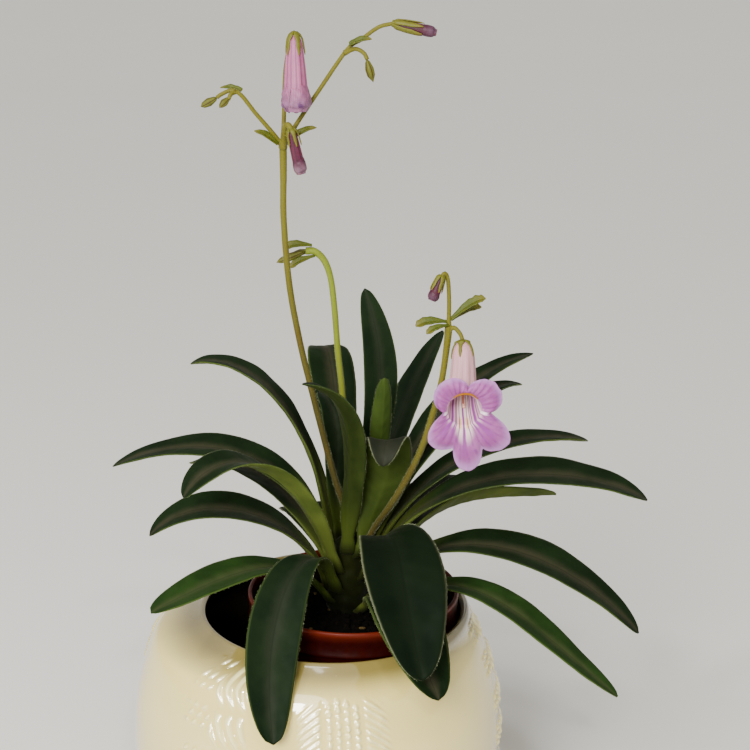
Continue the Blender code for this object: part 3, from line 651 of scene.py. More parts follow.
def open_petal_material():
    """The open corolla: a pale tube, a white and yellow throat with purple lines, and lilac lobes."""
    paint = Paint("petal_lilac", Specular_IOR_Level=0.25, Subsurface_Weight=0.1)
    along, across, under = paint.attributes("along", "across", "under")
    turn = paint.plus(across, paint.times(paint.cloud(160, 3), 0.016))
    veins = paint.maths("SINE", paint.times(turn, math.tau * PETAL_VEINS))
    broken = paint.patches(420, 3, 0.35, 0.65, 0.1, 0.6)
    streak = paint.times(paint.between(veins, 0.1, 1.0), broken)
    lobe = paint.layers(
        (0.26, 0.050, 0.225),
        (paint.patches(170, 4, 0.3, 0.7), (0.35, 0.098, 0.30)),
        (streak, (0.18, 0.024, 0.18)),
        (paint.between(along, 0.84, 1.0, 0.0, 0.55), (0.47, 0.24, 0.55)),
    )
    tube = paint.layers((0.56, 0.29, 0.31), (paint.times(streak, 0.5), (0.38, 0.12, 0.18)))
    outside = paint.layers(tube, (paint.between(along, 0.48, 0.62), lobe))

    deep = paint.times(paint.between(along, 0.56, 0.51), paint.between(along, 0.40, 0.45, 0.0, 0.85))
    throat = paint.layers(
        (0.60, 0.36, 0.44),
        (paint.near(across, LOW_ANGLE, 44), (0.80, 0.64, 0.55)),
        *((paint.times(paint.near(across, LOW_ANGLE + off, 8), deep), (0.72, 0.40, 0.07))
          for off in (-13, 13)),
        *((paint.times(paint.near(turn, LOW_ANGLE + off + LINE_SHIFT, half), 0.9), (0.26, 0.05, 0.19))
          for off, half in THROAT_LINES),
    )
    above = paint.between(paint.maths("ABSOLUTE", paint.maths("SUBTRACT", across, 0.25)), 0.28, 0.22)
    middle = paint.near(across, LOW_ANGLE, 30)
    low_middle = paint.times(middle, paint.between(along, 0.54, 0.73))
    low_sides = paint.times(paint.maths("SUBTRACT", 1.0, middle), paint.between(along, 0.49, 0.60))
    upper = paint.times(above, paint.between(along, 0.485, 0.53))
    face = paint.layers(
        throat,
        (paint.maths("MAXIMUM", paint.plus(low_middle, low_sides), upper), lobe),
        *((paint.times(paint.near(turn, LOW_ANGLE + off + LINE_SHIFT, half),
                       paint.between(along, last, 0.53, 0.0, 0.95)), (0.23, 0.028, 0.24))
          for off, half, last in LOBE_LINES),
        *((paint.times(paint.near(across, angle, 6.5), paint.between(along, 0.88, 0.62)), (0.84, 0.66, 0.73))
          for angle in NOTCH_ANGLES),
    )
    return paint.finish(paint.layers(face, (under, outside)), paint.plus(paint.cloud(1300, 3), veins),
                        0.15, 0.1 * MM)


def plain_material(name, dark, light, scale, roughness=0.6, **sockets):
    paint = Paint(name, roughness, **sockets)
    colour = paint.layers(dark, (paint.cloud(scale, 4), light))
    return paint.finish(colour, paint.cloud(scale * 3, 4), 0.2, 0.1 * MM)


glaze = ceramic_material()
terracotta = plastic_material()
peat = soil_material("dark_soil", (0.0022, 0.0016, 0.0011), (0.010, 0.006, 0.003), 0.55)
bark = soil_material("bark_chips", (0.04, 0.024, 0.008), (0.16, 0.11, 0.04), 0.4)
# Each leaf's streak colour is painted sheen. leaf_dark is the lit copy, with painted light on its bright
# undersides.
leaf_dark = leaf_material(
    "leaf_dark",
    top_dark=(0.003, 0.009, 0.002), top_light=(0.006, 0.016, 0.004), streak=(0.033, 0.031, 0.0175),
    under_dark=(0.030, 0.046, 0.007), under_light=(0.080, 0.105, 0.017), base=(0.062, 0.080, 0.012),
    margin=(0.030, 0.050, 0.012),
)
leaf_rimmed = leaf_material(
    "leaf_rimmed",
    top_dark=(0.0015, 0.005, 0.0015), top_light=(0.003, 0.008, 0.0025), streak=(0.005, 0.010, 0.004),
    under_dark=(0.014, 0.028, 0.004), under_light=(0.030, 0.050, 0.008), base=(0.030, 0.042, 0.006),
    margin=(0.24, 0.24, 0.15), edge=0.99,
)
# Painted shade: the shaded copy of leaf_dark, darker underneath and in its sheen, for the leaves in the
# middle.
leaf_inner_shaded = leaf_material(
    "leaf_inner_shaded",
    top_dark=(0.003, 0.009, 0.003), top_light=(0.007, 0.016, 0.005), streak=(0.016, 0.020, 0.011),
    under_dark=(0.010, 0.017, 0.0025), under_light=(0.022, 0.034, 0.005), base=(0.034, 0.048, 0.006),
    margin=(0.030, 0.050, 0.012),
)
leaf_young = leaf_material(
    "leaf_young",
    top_dark=(0.008, 0.022, 0.004), top_light=(0.014, 0.036, 0.006), streak=(0.035, 0.044, 0.016),
    under_dark=(0.022, 0.040, 0.006), under_light=(0.048, 0.078, 0.012), base=(0.042, 0.064, 0.008),
    margin=(0.050, 0.080, 0.014),
)
leaf_folded = leaf_material(
    "leaf_folded",
    top_dark=(0.008, 0.011, 0.006), top_light=(0.016, 0.018, 0.011), streak=(0.018, 0.020, 0.012),
    under_dark=(0.022, 0.036, 0.005), under_light=(0.042, 0.062, 0.010), base=(0.036, 0.052, 0.007),
    margin=(0.30, 0.30, 0.20), edge=0.985,
)
# Painted shade: the crown is near black, as it stands in the shade of the leaves.
crown_green = stem_material("crown_green", (0.001, 0.0008, 0.0004), (0.007, 0.009, 0.0012),
                            (0.003, 0.0015, 0.0007), specular=0.03)
stalk_olive = stem_material("stalk_olive", (0.036, 0.028, 0.002), (0.12, 0.108, 0.006), (0.075, 0.048, 0.003))
stalk_bright = stem_material("stalk_bright", (0.10, 0.08, 0.005), (0.16, 0.20, 0.012), (0.14, 0.15, 0.010))
bract_green = green_material("bract_green", (0.034, 0.05, 0.003), (0.072, 0.095, 0.006),
                             (0.125, 0.105, 0.007))
sepal_green = green_material("sepal_green", (0.08, 0.08, 0.005), (0.145, 0.138, 0.009), (0.15, 0.125, 0.01))
bud_green = bud_material("bud_green", (0.060, 0.064, 0.005), (0.12, 0.12, 0.009), (0.036, 0.013, 0.007))
petal_open = open_petal_material()
petal_closed = closed_petal_material(
    "petal_closed", (0.38, 0.125, 0.23), (0.19, 0.045, 0.12), (0.24, 0.098, 0.18), (0.065, 0.016, 0.09), 13
)
bud_maroon = closed_petal_material(
    "bud_maroon", (0.075, 0.016, 0.034), (0.024, 0.004, 0.011), (0.085, 0.034, 0.058), (0.04, 0.01, 0.024), 8
)
bud_fading = closed_petal_material(
    "bud_fading", (0.085, 0.016, 0.040), (0.026, 0.004, 0.012), (0.18, 0.09, 0.125), (0.050, 0.013, 0.035), 8
)
pistil_pale = plain_material("pistil_pale", (0.56, 0.27, 0.17), (0.68, 0.40, 0.26), 500, 0.5)
anther_orange = plain_material("anther_orange", (0.25, 0.085, 0.0), (0.34, 0.13, 0.0), 700, 0.7,
                               Specular_IOR_Level=0.1)
filament_brown = plain_material("filament_brown", (0.08, 0.013, 0.003), (0.16, 0.030, 0.006), 700)
hair_pale = plain_material("pale_hair", (0.20, 0.24, 0.12), (0.36, 0.40, 0.24), 400)


# Pots and soil


def relief(azimuth, height):
    """How far the ornament stands out of the cachepot's side. Each of the equal panels has columns of beads,
    slanting strokes on both sides of them, a tuft of bowed flutes and a spray of dots. The rest is plain."""
    if not RELIEF_FOOT < height < TUFT_TOP:
        return 0.0
    panel = 360 / RELIEF_PANELS
    off = (azimuth - RELIEF_CENTRE + panel / 2) % panel - panel / 2
    x = math.radians(off) * RELIEF_GIRTH
    drop = RELIEF_TOP - height
    fade = smoothstep((height - RELIEF_FOOT) / (5 * MM))
    uneven = 0.45 + 0.75 * smoothstep(bumps(azimuth * 0.16, height * 260, 2) * 1.6 + 0.6)
    if abs(x) < STROKES_START:
        return bead_rise(x, height, drop) * fade * uneven
    if abs(x) < STROKES_END:
        return stroke_rise(abs(x) - STROKES_START, height, drop) * fade * uneven
    if TUFT_FROM < x < TUFT_TO:
        return flute_rise(x, TUFT_TOP - height) * fade
    if DOTS_FROM < x < TUFT_FROM:
        return dot_rise(x, TUFT_TOP - height) * fade
    return 0.0


def bead_rise(x, height, drop):
    """Four columns of beads, of which every other one is half a bead higher."""
    column = round(x / BEAD_GAP - 0.5) + 0.5
    if abs(column) > 2:
        return 0.0
    dz = (height + (BEAD_PITCH / 2 if column in (-1.5, 0.5) else 0)) % BEAD_PITCH - BEAD_PITCH / 2
    start = smoothstep((drop - (0.8 + abs(column) * 1.2) * MM) / (1.5 * MM))
    return BEAD_RISE * hump(math.hypot(x - column * BEAD_GAP, dz), BEAD_PITCH * 0.41) * start


def stroke_rise(run, height, drop):
    """Slanting strokes, thick by the beads and thin at their outer ends, where they sweep down."""
    bowed = height + run * 0.55 + 0.02 * run * run / MM
    dz = bowed % STROKE_PITCH - STROKE_PITCH / 2
    length = STROKES_END - STROKES_START
    start = smoothstep((drop - 1.5 * MM - run * 0.3) / (2.5 * MM))
    ends = smoothstep(run / (1.2 * MM)) * smoothstep((length - run) / (4 * MM)) * start
    return STROKE_RISE * hump(dz, STROKE_PITCH * (0.31 - 0.15 * run / length)) * ends


def flute_rise(x, drop):
    """Tiers of long flutes that bow towards the beads as they run down."""
    share = drop % TUFT_TIER / TUFT_TIER
    bowed = x - 6.5 * MM * share * share
    dx = bowed % FLUTE_PITCH - FLUTE_PITCH / 2
    band = smoothstep((x - TUFT_FROM) / (1.5 * MM)) * smoothstep((TUFT_TO - x) / (1.5 * MM))
    ends = smoothstep(share * 4) * smoothstep((1 - share) * 2.0)
    return FLUTE_RISE * hump(dx, FLUTE_PITCH * (0.38 - 0.20 * share)) * ends * band


def dot_rise(x, drop):
    """A spray of small dots beside the upper part of each tier."""
    band = smoothstep(drop / (1.5 * MM)) * smoothstep((8 * MM - drop % TUFT_TIER) / (1.5 * MM))
    dx = (x + drop * 0.6) % DOT_PITCH - DOT_PITCH / 2
    dz = drop % (DOT_PITCH * 0.8) - DOT_PITCH * 0.4
    return 0.7 * BEAD_RISE * hump(math.hypot(dx, dz), DOT_PITCH * 0.26) * band


def pot_azimuths():
    """Azimuths around the cachepot, closer together across the ornament than across the plain glaze."""
    half_panel = math.pi * RELIEF_GIRTH / RELIEF_PANELS
    zones = (  # start and end along the panel, from its middle, and the number of steps between
        (-half_panel, DOTS_FROM, 3), (DOTS_FROM, TUFT_TO, 66), (TUFT_TO, -STROKES_END, 7),
        (-STROKES_END, STROKES_END, 92), (STROKES_END, half_panel, 20),
    )
    found = []
    for k in range(RELIEF_PANELS):
        centre = RELIEF_CENTRE + k * 360 / RELIEF_PANELS
        for start, end, count in zones:
            for i in range(count):
                run = start + (end - start) * i / count
                found.append(centre + math.degrees(run / RELIEF_GIRTH))
    return found


def profile_points(profile, step):
    """Points about a step apart on the smooth line through a profile's (radius, height) points."""
    return [(point.x, point.z) for point in through([Vector((r, 0, z)) for r, z in profile], step)]


def cachepot():
    outside = [(radius * MM, height * MM) for radius, height in POT_OUTSIDE]
    bottom = [(AXIS, POT_FLOOR), (18 * MM, POT_FLOOR), (36 * MM, POT_FLOOR), (43 * MM, POT_FLOOR + 1.2 * MM)]
    wall = [
        (radius - POT_WALL, height - POT_INSIDE_DROP)
        for radius, height in reversed(outside) if POT_FLOOR < height < POT_HEIGHT - POT_LIP_DEPTH
    ]
    shown = profile_points(outside[:POT_WAIST + 1], ORNAMENT_STEP)[:-1]
    shown += profile_points(outside[POT_WAIST:-1], PLAIN_STEP)
    foot = [outside[-1], (36 * MM, POT_DISHED), (20 * MM, POT_DISHED), (AXIS, POT_DISHED)]
    rings = [*bottom, *wall, *shown, *foot]
    azimuths = pot_azimuths()
    points, raised, inside = [], [], []
    for i, (radius, height) in enumerate(rings):
        hidden = i < len(bottom) + len(wall)
        rise = (height - POT_LEAN_FROM) / (POT_HEIGHT - POT_LEAN_FROM)
        centre = POT_LEAN * smoothstep(rise)
        for azimuth in azimuths:
            stands = 0.0 if hidden or radius < RELIEF_INNER else relief(azimuth, height)
            points.append(on_ring(centre, height, azimuth, radius + stands))
            raised.append(stands / BEAD_RISE)
            # Marks the inside, which the glaze paints near black as shade.
            inside.append(float(hidden))
    faces = capped_faces(len(rings), len(azimuths), flipped=True)
    add_piece("cachepot_glazed", points, faces, glaze, ["cachepot"], {"relief": raised, "inside": inside})


def nursery_radius(height):
    """Outer radius of the tapered wall below the rim band."""
    share = (height - NURSERY_BOTTOM) / (NURSERY_TOP - NURSERY_RIM_HEIGHT - NURSERY_BOTTOM)
    return NURSERY_FOOT_RADIUS + (NURSERY_RIM_RADIUS - 1.2 * MM - NURSERY_FOOT_RADIUS) * share


def nursery_pot():
    band = NURSERY_TOP - NURSERY_RIM_HEIGHT
    floor = NURSERY_BOTTOM + NURSERY_WALL
    foot = nursery_radius(floor) - NURSERY_WALL
    rim = NURSERY_RIM_RADIUS
    rounded = [
        (rim - NURSERY_LIP - math.cos(math.radians(angle)) * NURSERY_LIP,
         NURSERY_TOP - NURSERY_LIP + math.sin(math.radians(angle)) * NURSERY_LIP)
        for angle in range(0, 181, 20)
    ]
    profile = [
        (AXIS, floor),
        (foot - 0.6 * MM, floor),
        (foot, floor + 0.6 * MM),
        (nursery_radius(band) - NURSERY_WALL, band),
        (rim - NURSERY_WALL - 0.3 * MM, band + 1.1 * MM),
        (rim - NURSERY_WALL, band + 1.8 * MM),
        *rounded,
        (rim, NURSERY_TOP - 1.6 * MM),
        (rim - 0.25 * MM, NURSERY_TOP - 2.0 * MM),
        (rim - 0.25 * MM, band + 1.0 * MM),
        (rim, band + 0.6 * MM),
        (rim - 0.1 * MM, band + 0.1 * MM),
        (nursery_radius(band) + 0.2 * MM, band - 0.1 * MM),
        (nursery_radius(band), band - 0.5 * MM),
        (nursery_radius(NURSERY_BOTTOM + 0.5 * MM), NURSERY_BOTTOM + 0.5 * MM),
        (NURSERY_FOOT_RADIUS - 0.5 * MM, NURSERY_BOTTOM),
        (AXIS, NURSERY_BOTTOM),
    ]
    points = [
        on_ring(NURSERY_X, height, 360 * j / NURSERY_STEPS, radius)
        for radius, height in profile for j in range(NURSERY_STEPS)
    ]
    faces = capped_faces(len(profile), NURSERY_STEPS, flipped=True)
    made = add_piece("nursery_pot_shell", points, faces, terracotta, ["nursery_pot"])
    made.data.set_sharp_from_angle(angle=math.radians(50))
    for i in range(DRAIN_COUNT):
        work = bmesh.new()
        bmesh.ops.create_cone(work, cap_ends=True, segments=32, radius1=DRAIN_RADIUS, radius2=DRAIN_RADIUS,
                              depth=4 * NURSERY_WALL)
        place = on_ring(NURSERY_X, NURSERY_BOTTOM + NURSERY_WALL / 2, 360 * i / DRAIN_COUNT, DRAIN_RING)
        combine(made, add_object(f"drain_{i}", mesh_from(work, f"drain_{i}"), place), "DIFFERENCE")


def soil_height(x, y):
    """The soil's surface above its level, lumpy at two scales."""
    broad = noise.noise(Vector((x, y, 0)) * 190)
    small = noise.noise(Vector((x, y, 3)) * 700)
    return SOIL_LUMP * (broad + 0.5 * small)


def potting_soil():
    wall = NURSERY_WALL + CLEARANCE * 0.5
    floor = NURSERY_BOTTOM + wall
    band = NURSERY_TOP - NURSERY_RIM_HEIGHT
    rim = NURSERY_RIM_RADIUS - wall
    top = [(rim * i / SOIL_RINGS, SOIL_TOP) for i in range(1, SOIL_RINGS + 1)]
    below = [(nursery_radius(band) - wall, band - CLEARANCE)]
    below += [(nursery_radius(floor) - wall - 1.2 * MM, floor), (AXIS, floor)]
    rings = [(AXIS, SOIL_TOP), *top, *below]
    points = []
    for i, (radius, height) in enumerate(rings):
        for j in range(SOIL_STEPS):
            spot = on_ring(NURSERY_X, height, 360 * j / SOIL_STEPS, radius)
            if i <= len(top):
                spot.z += soil_height(spot.x, spot.y) + SOIL_DOME * (1 - radius / rim)
            points.append(spot)
    add_piece("soil_bed", points, capped_faces(len(rings), SOIL_STEPS), peat, ["potting_soil"])
    soil_bits("soil_crumbs", CRUMB_COUNT, peat, (0.4, 1.3), 1.0)
    soil_bits("soil_bark_chips", CHIP_COUNT, bark, (0.6, 1.5), 0.45)


def soil_bits(name, count, material, sizes, flat):
    """Loose lumps that lie in the soil's surface, each a rough ball of its own shape."""
    random.seed(name)
    work = bmesh.new()
    rim = NURSERY_RIM_RADIUS - NURSERY_WALL - 1.2 * MM
    for i in range(count):
        radius = random.uniform(*sizes) * MM
        away = math.sqrt(random.uniform(0.06, 1)) * (rim - radius)
        spot = on_ring(NURSERY_X, 0, random.uniform(0, 360), away)
        spot.z = SOIL_TOP + soil_height(spot.x, spot.y) + SOIL_DOME * (1 - away / rim) + radius * flat * 0.25
        ball = bmesh.ops.create_icosphere(work, subdivisions=2, radius=radius)
        turn = random.uniform(0, math.tau)
        longer = random.uniform(0.7, 1.3)
        for vertex in ball["verts"]:
            rough = 1 + 0.45 * noise.noise(vertex.co / radius * 1.3 + Vector((i * 7.3, 0, 0)))
            point = vertex.co * rough
            x, y = point.x * longer, point.y / longer
            vertex.co = spot + Vector((x * math.cos(turn) - y * math.sin(turn),
                                       x * math.sin(turn) + y * math.cos(turn), point.z * flat))
    add_part(name, mesh_from(work, name), material)


def crown_radius(height):
    """Radius of the crown, in metres, at a height in millimetres."""
    return interpolate(CROWN_PROFILE, height) * MM


def crown():
    """The short stem that the leaves grow from, lumpy with the scars of older leaves."""
    rows, columns = CROWN_GRID
    foot, top = CROWN_PROFILE[0][0], CROWN_PROFILE[-1][0]
    points, along = [], []
    for i in range(rows + 1):
        height = top - (top - foot) * i / rows
        dome = math.sqrt(min(1.0, 0.02 + (top - height) / 2.5))
        for j in range(columns):
            out = heading(360 * j / columns, 0)
            scar = bumps(out.x * 2.2, out.y * 2.2, height * 0.33)
            radius = crown_radius(height) * dome * (1 + 0.10 * scar)
            points.append(Vector((CROWN_X, 0, height * MM)) + out * radius)
            along.append((height - foot) / (top - foot))
    faces = capped_faces(rows + 1, columns, flipped=True)
    add_piece("crown_stem", points, faces, crown_green, ["crown"], {"along": along})


def on_crown(azimuth, height, out):
    """The point this far out from the crown's side, at an azimuth in degrees and a height in millimetres."""
    return on_ring(CROWN_X, height * MM, azimuth, crown_radius(height) + CLEARANCE + out)


# Leaves


def leaf_half_width(u, width, blunt=0.0, late=0.0):
    """Half the width at u: a narrow stalk, broad at its foot, then the blade and its tip."""
    petiole = PETIOLE_WIDTH * (1.5 - 0.5 * smoothstep(u / 0.1) - 0.15 * smoothstep(u / 0.3))
    grown = clamp((u - 0.06) / 0.94) ** (1.25 + blunt + late)
    rounded = 0.72 - blunt * 0.36 - 0.2 * (1 - blunt) * smoothstep((u - 0.7) / 0.25)
    blade = math.sin(math.pi * grown) ** rounded
    body = petiole * (1 - smoothstep(u * 1.6)) + width * blade
    return max(min(body, width), TIP_WIDTH * (1 if u > 0.5 else 4)) / 2


def leaf_section(u, point, side, top, half, own, fold, keel):
    """A leaf's closed outline at u, as (point, across, under). Own is where its noise is taken."""
    body = smoothstep((u - 0.12) / 0.2)
    thick = LEAF_THICK * (1.35 - 0.55 * body) * min(1.0, 0.3 + 9 * (1 - u))
    found = []
    for below in (False, True):
        for j in range(LEAF_COLUMNS):
            across = -1 + 2 * j / LEAF_COLUMNS
            across = -across if below else across
            out = abs(across)
            level = out**1.5 * half * fold
            wave = noise.noise(own + Vector((u * 9, across * 1.6, 0)))
            level += MARGIN_WAVE * wave * out * body
            bulk = thick / 2 * math.sqrt(max(1 - out**5, 0.0))
            rib = math.exp(-((across * half / MIDRIB_REACH) ** 2)) * body * keel
            waves = math.sin((u * VEIN_COUNT - out * VEIN_SWEEP) * math.tau)
            veins = waves * VEIN_DEPTH * body * (1 - out**4)
            if below:
                level -= bulk + rib * MIDRIB_DEPTH * 1.6 * (1.2 - u) - veins
            else:
                level += bulk - rib * MIDRIB_DEPTH * (1.1 - u) + veins
            jag = 1 + MARGIN_JAG * noise.noise(own + Vector((u * 60, across * 3, 5)))
            found.append((point + side * (across * half * jag) + top * level, across, float(below)))
    return found


def leaf(name, tip, root, lift, fall, width, swing=0, turn=0, reach=0.42, ease=0.42, roll=0, fold=0.22,
         blunt=0.0, late=0.0, keel=1.0, face=None, hook=(0, 0), hairs=0.6, material=leaf_dark):
    """A thick leaf on the crown, on the same middle line as its CAD node. The line leaves the crown at the
    height root and the angle lift, and comes down to the tip at the angle fall. Swing and turn are how far
    its two ends head off the tip's azimuth, and reach and ease how far each end keeps its heading, as a share
    of the length. Face is the azimuth that the blade lies square to, if not its own. Roll tilts the blade,
    fold raises its margins and keel deepens its midrib. Blunt fills out its outline, and late moves its
    widest place on. Across it, the top has a groove over the midrib and the underside a rib, and the margins
    are thin, wavy and hairy. A hook, a length in mm and an angle, rolls the tip over."""
    end = mm(*tip)
    azimuth = math.degrees(math.atan2(end.y, end.x - CROWN_X))
    start = on_crown(azimuth + swing, root, LEAF_THICK * 0.65)
    chord = (end - start).length
    spine = (
        start,
        start + heading(azimuth + swing, lift) * (reach * chord),
        end - heading(azimuth + turn, -fall) * (ease * chord),
        end,
    )
    curl_length, curl_angle = hook[0] * MM, hook[1]
    straight = chord / (chord + curl_length)
    random.seed(name)
    own = Vector((random.uniform(0, 50), random.uniform(0, 50), 0))

    def middle(u):
        """The point and the direction of the middle line at u."""
        if u <= straight:
            return bezier(spine, u / straight), bezier_slope(spine, u / straight)
        done = (u - straight) / (1 - straight)
        point = end.copy()
        for i in range(CURL_STEPS):
            bent = curl_angle * done * (i + 0.5) / CURL_STEPS
            point += heading(azimuth + turn, -fall - bent) * (curl_length * done / CURL_STEPS)
        return point, heading(azimuth + turn, -fall - curl_angle * done)

    def axes(u):
        """At u: the line's point, the ways across and out of the top, half the width and the way along."""
        point, along = middle(u)
        last, pace = (azimuth + turn, 1.3) if face is None else (face, 3)
        way = azimuth + swing + (last - azimuth - swing) * smoothstep(u * pace)
        level = heading(way + 90, 0)
        flat = (level - along * level.dot(along)).normalized()
        upper = along.cross(flat)
        angle = math.radians(roll) * smoothstep(u * 1.4)
        side = around(flat, upper, angle)
        top = upper * math.cos(angle) - flat * math.sin(angle)
        return point, side, top, leaf_half_width(u, width * MM, blunt, late), along

    outward = heading(azimuth + swing, 0)
    points, values = [], {"along": [], "across": [], "under": []}
    for i in range(-FOOT_ROWS, LEAF_ROWS + 1):
        u = max(i, 0) / LEAF_ROWS
        sunk = max(-i, 0) / FOOT_ROWS
        foot = heading(azimuth + swing, lift) * (FOOT_DROP * sunk) + outward * (FOOT_DEPTH * sunk**2)
        for place, across, under in leaf_section(u, *axes(u)[:4], own, fold, keel):
            points.append(place - foot)
            values["along"].append(u)
            values["across"].append(across)
            values["under"].append(0.5 if abs(across) > 0.999 else under)
    faces = capped_faces(FOOT_ROWS + LEAF_ROWS + 1, 2 * LEAF_COLUMNS)
    add_piece(f"{name}_blade", points, faces, material, [name], values)

    for _ in range(int(2 * chord * hairs / MARGIN_HAIR_PITCH)):
        u = random.uniform(0.12, 0.995)
        point, side, top, half, along = axes(u)
        sign = random.choice((-1, 1))
        root_at = point + side * (sign * half * 0.985) + top * (half * fold * 0.98)
        direction = side * sign + along * random.uniform(-0.1, 0.7) + top * random.uniform(-0.5, 0.6)
        add_hair("leaf", root_at, direction.normalized(), MARGIN_HAIR * random.uniform(0.5, 1.2))


# Stalks, bracts and flowers


def stem_piece(name, line, radius_at, material, nodes=(), sides=STALK_SIDES, hairs=0.0):
    """A round stem about a line, with hairs a number of times as dense as usual."""
    points, along = [], []
    side = cross_axes((line[1] - line[0]).normalized())[0]
    for i, centre in enumerate(line):
        ahead, behind = line[min(i + 1, len(line) - 1)], line[max(i - 1, 0)]
        direction = (ahead - behind).normalized()
        side = (side - direction * side.dot(direction)).normalized()
        up = direction.cross(side)
        share = i / (len(line) - 1)
        for j in range(sides):
            angle = math.tau * j / sides
            own = Vector((math.cos(angle), math.sin(angle), len(name)))
            rough = 1 + STEM_RIPPLE * noise.noise(own + centre * 260)
            points.append(centre + around(side, up, angle) * (radius_at(share) * rough))
            along.append(share)
    faces = capped_faces(len(line), sides)
    made = add_piece(name, points, faces, material, nodes, {"along": along})
    length = sum((b - a).length for a, b in zip(line, line[1:]))
    random.seed(name)
    for _ in range(int(length * hairs / STALK_HAIR_PITCH)):
        k = random.randrange(1, len(line) - 1)
        corner = points[k * sides + random.randrange(sides)]
        outward = (corner - line[k]).normalized()
        tilt = (line[k + 1] - line[k - 1]).normalized() * random.uniform(-0.3, 0.3)
        add_hair("stalk", corner - outward * 0.05 * MM, (outward + tilt).normalized(),
                 STALK_HAIR * random.uniform(0.5, 1.2), HAIR_RADIUS * 0.8)
    return made


def stalk(name, trunk, branches, material, stout=()):
    """A flower stalk as one mesh: the trunk, swollen at its fork, and the branches and pedicels, of which
    the stout ones are half as thick again. Along is the height on the stalk."""
    line = through(trunk)
    line[0] -= (line[1] - line[0]).normalized() * GROWN_IN

    def trunk_radius(share):
        swollen = 0.22 * math.exp(-(((share - 1) * 12) ** 2))
        return (STALK_RADIUS + (STALK_TOP_RADIUS - STALK_RADIUS) * share) * (1 + swollen)

    made = stem_piece(f"{name}_stem", line, trunk_radius, material, [name], hairs=1.0)
    for i, points in enumerate(branches):

        def branch_radius(share, factor=1.5 if i in stout else 1.0):
            swollen = 0.35 * math.exp(-((share * 9) ** 2))
            return (BRANCH_RADIUS + (PEDICEL_RADIUS - BRANCH_RADIUS) * share) * (1 + swollen) * factor

        run = through(points, STALK_STEP * 0.7)
        run.append(run[-1] + (run[-1] - run[-2]).normalized() * GROWN_IN * 0.5)
        grown = stem_piece(f"{name}_grown_{i}", run, branch_radius, material, sides=16, hairs=0.8)
        combine(made, grown, "UNION")
    heights = [vertex.co.z for vertex in made.data.vertices]
    low, high = min(heights), max(heights)
    rises = [(height - low) / (high - low) for height in heights]
    made.data.attributes["along"].data.foreach_set("value", rises)


def bract(name, start, end, width, teeth=0, roll=0):
    """A narrow keeled bract that leaves the stalk level and droops a little towards its tip. A young,
    leafy one is broadest past its middle and has this many teeth there. Roll tilts it, in degrees."""
    rise = Vector((0, 0, (end - start).length * 0.12))
    foot = start - (end - start).normalized() * GROWN_IN * 0.8
    spine = (foot, start + (end - start) * 0.33 + rise, start + (end - start) * 0.7 + rise, end)
    random.seed(name)
    own = random.uniform(0, 40)

    def place(u, v):
        along = bezier_slope(spine, u)
        level, above = cross_axes(along)
        side = around(level, above, math.radians(roll))
        across = (v - 0.5) * 2
        half = width * MM / 2 * max(math.sin(math.pi * (0.24 + 0.74 * u)) ** 0.9, 0.12)
        if teeth:
            leafy = 0.35 + 0.65 * smoothstep(u * 1.6)
            notch = abs((u * teeth * 1.6 + 0.3 * (across > 0)) % 1 - 0.5)
            half = width * MM / 2 * leafy * (1 - 0.55 * notch * smoothstep(u * 2 - 0.6))
            half *= 0.25 + 0.75 * smoothstep((1 - u) * 7)
        wave = 0.25 * MM * bumps(u * 5, across, own)
        lift = abs(across) * half * 0.45 + wave * abs(across)
        return bezier(spine, u) + side * (across * half) + side.cross(along) * lift

    wall = Shell()
    wall.add(*BRACT_GRID, place, BRACT_THICK)
    wall.make(f"{name}_leaf", bract_green, [name])


def flower_bud(name, base, tip, profile, material=bud_green, calyx=0.0, ribs=5, rib_depth=0.05, loose=0.35,
               narrow=0.4):
    """A closed bud about the line from base to tip, with (share, radius in mm) points as its profile. With a
    calyx, a length in mm, it is a corolla whose lobes are folded over its end, more or less loose, in a ring
    of sepals, more or less narrow."""
    along = (tip - base).normalized()
    length = (tip - base).length
    side, up = cross_axes(along)

    def ring(distance, radius, angle):
        return base + along * distance + around(side, up, angle) * radius

    def radius_at(distance):
        return profile_radius(profile, distance / length)

    body = f"{name}_corolla" if calyx else name
    rows, columns = BUD_GRID
    points, values = [], {"along": [], "across": []}
    for i in range(rows + 1):
        share = 0.5 - 0.5 * math.cos(math.pi * i / rows)
        radius = max(radius_at(length * share), 0.02 * MM)
        for j in range(columns):
            angle = math.tau * j / columns
            points.append(ring(length * share, radius * (1 + rib_depth * math.cos(angle * ribs)), angle))
            values["along"].append(share)
            values["across"].append(j / columns)
    add_piece(f"{body}_form", points, capped_faces(rows + 1, columns), material, [body], values)
    if calyx:
        folded_lobes(name, ring, radius_at, length, material, loose)
        sepals(f"{name}_calyx", ring, calyx * MM, radius_at, narrow)


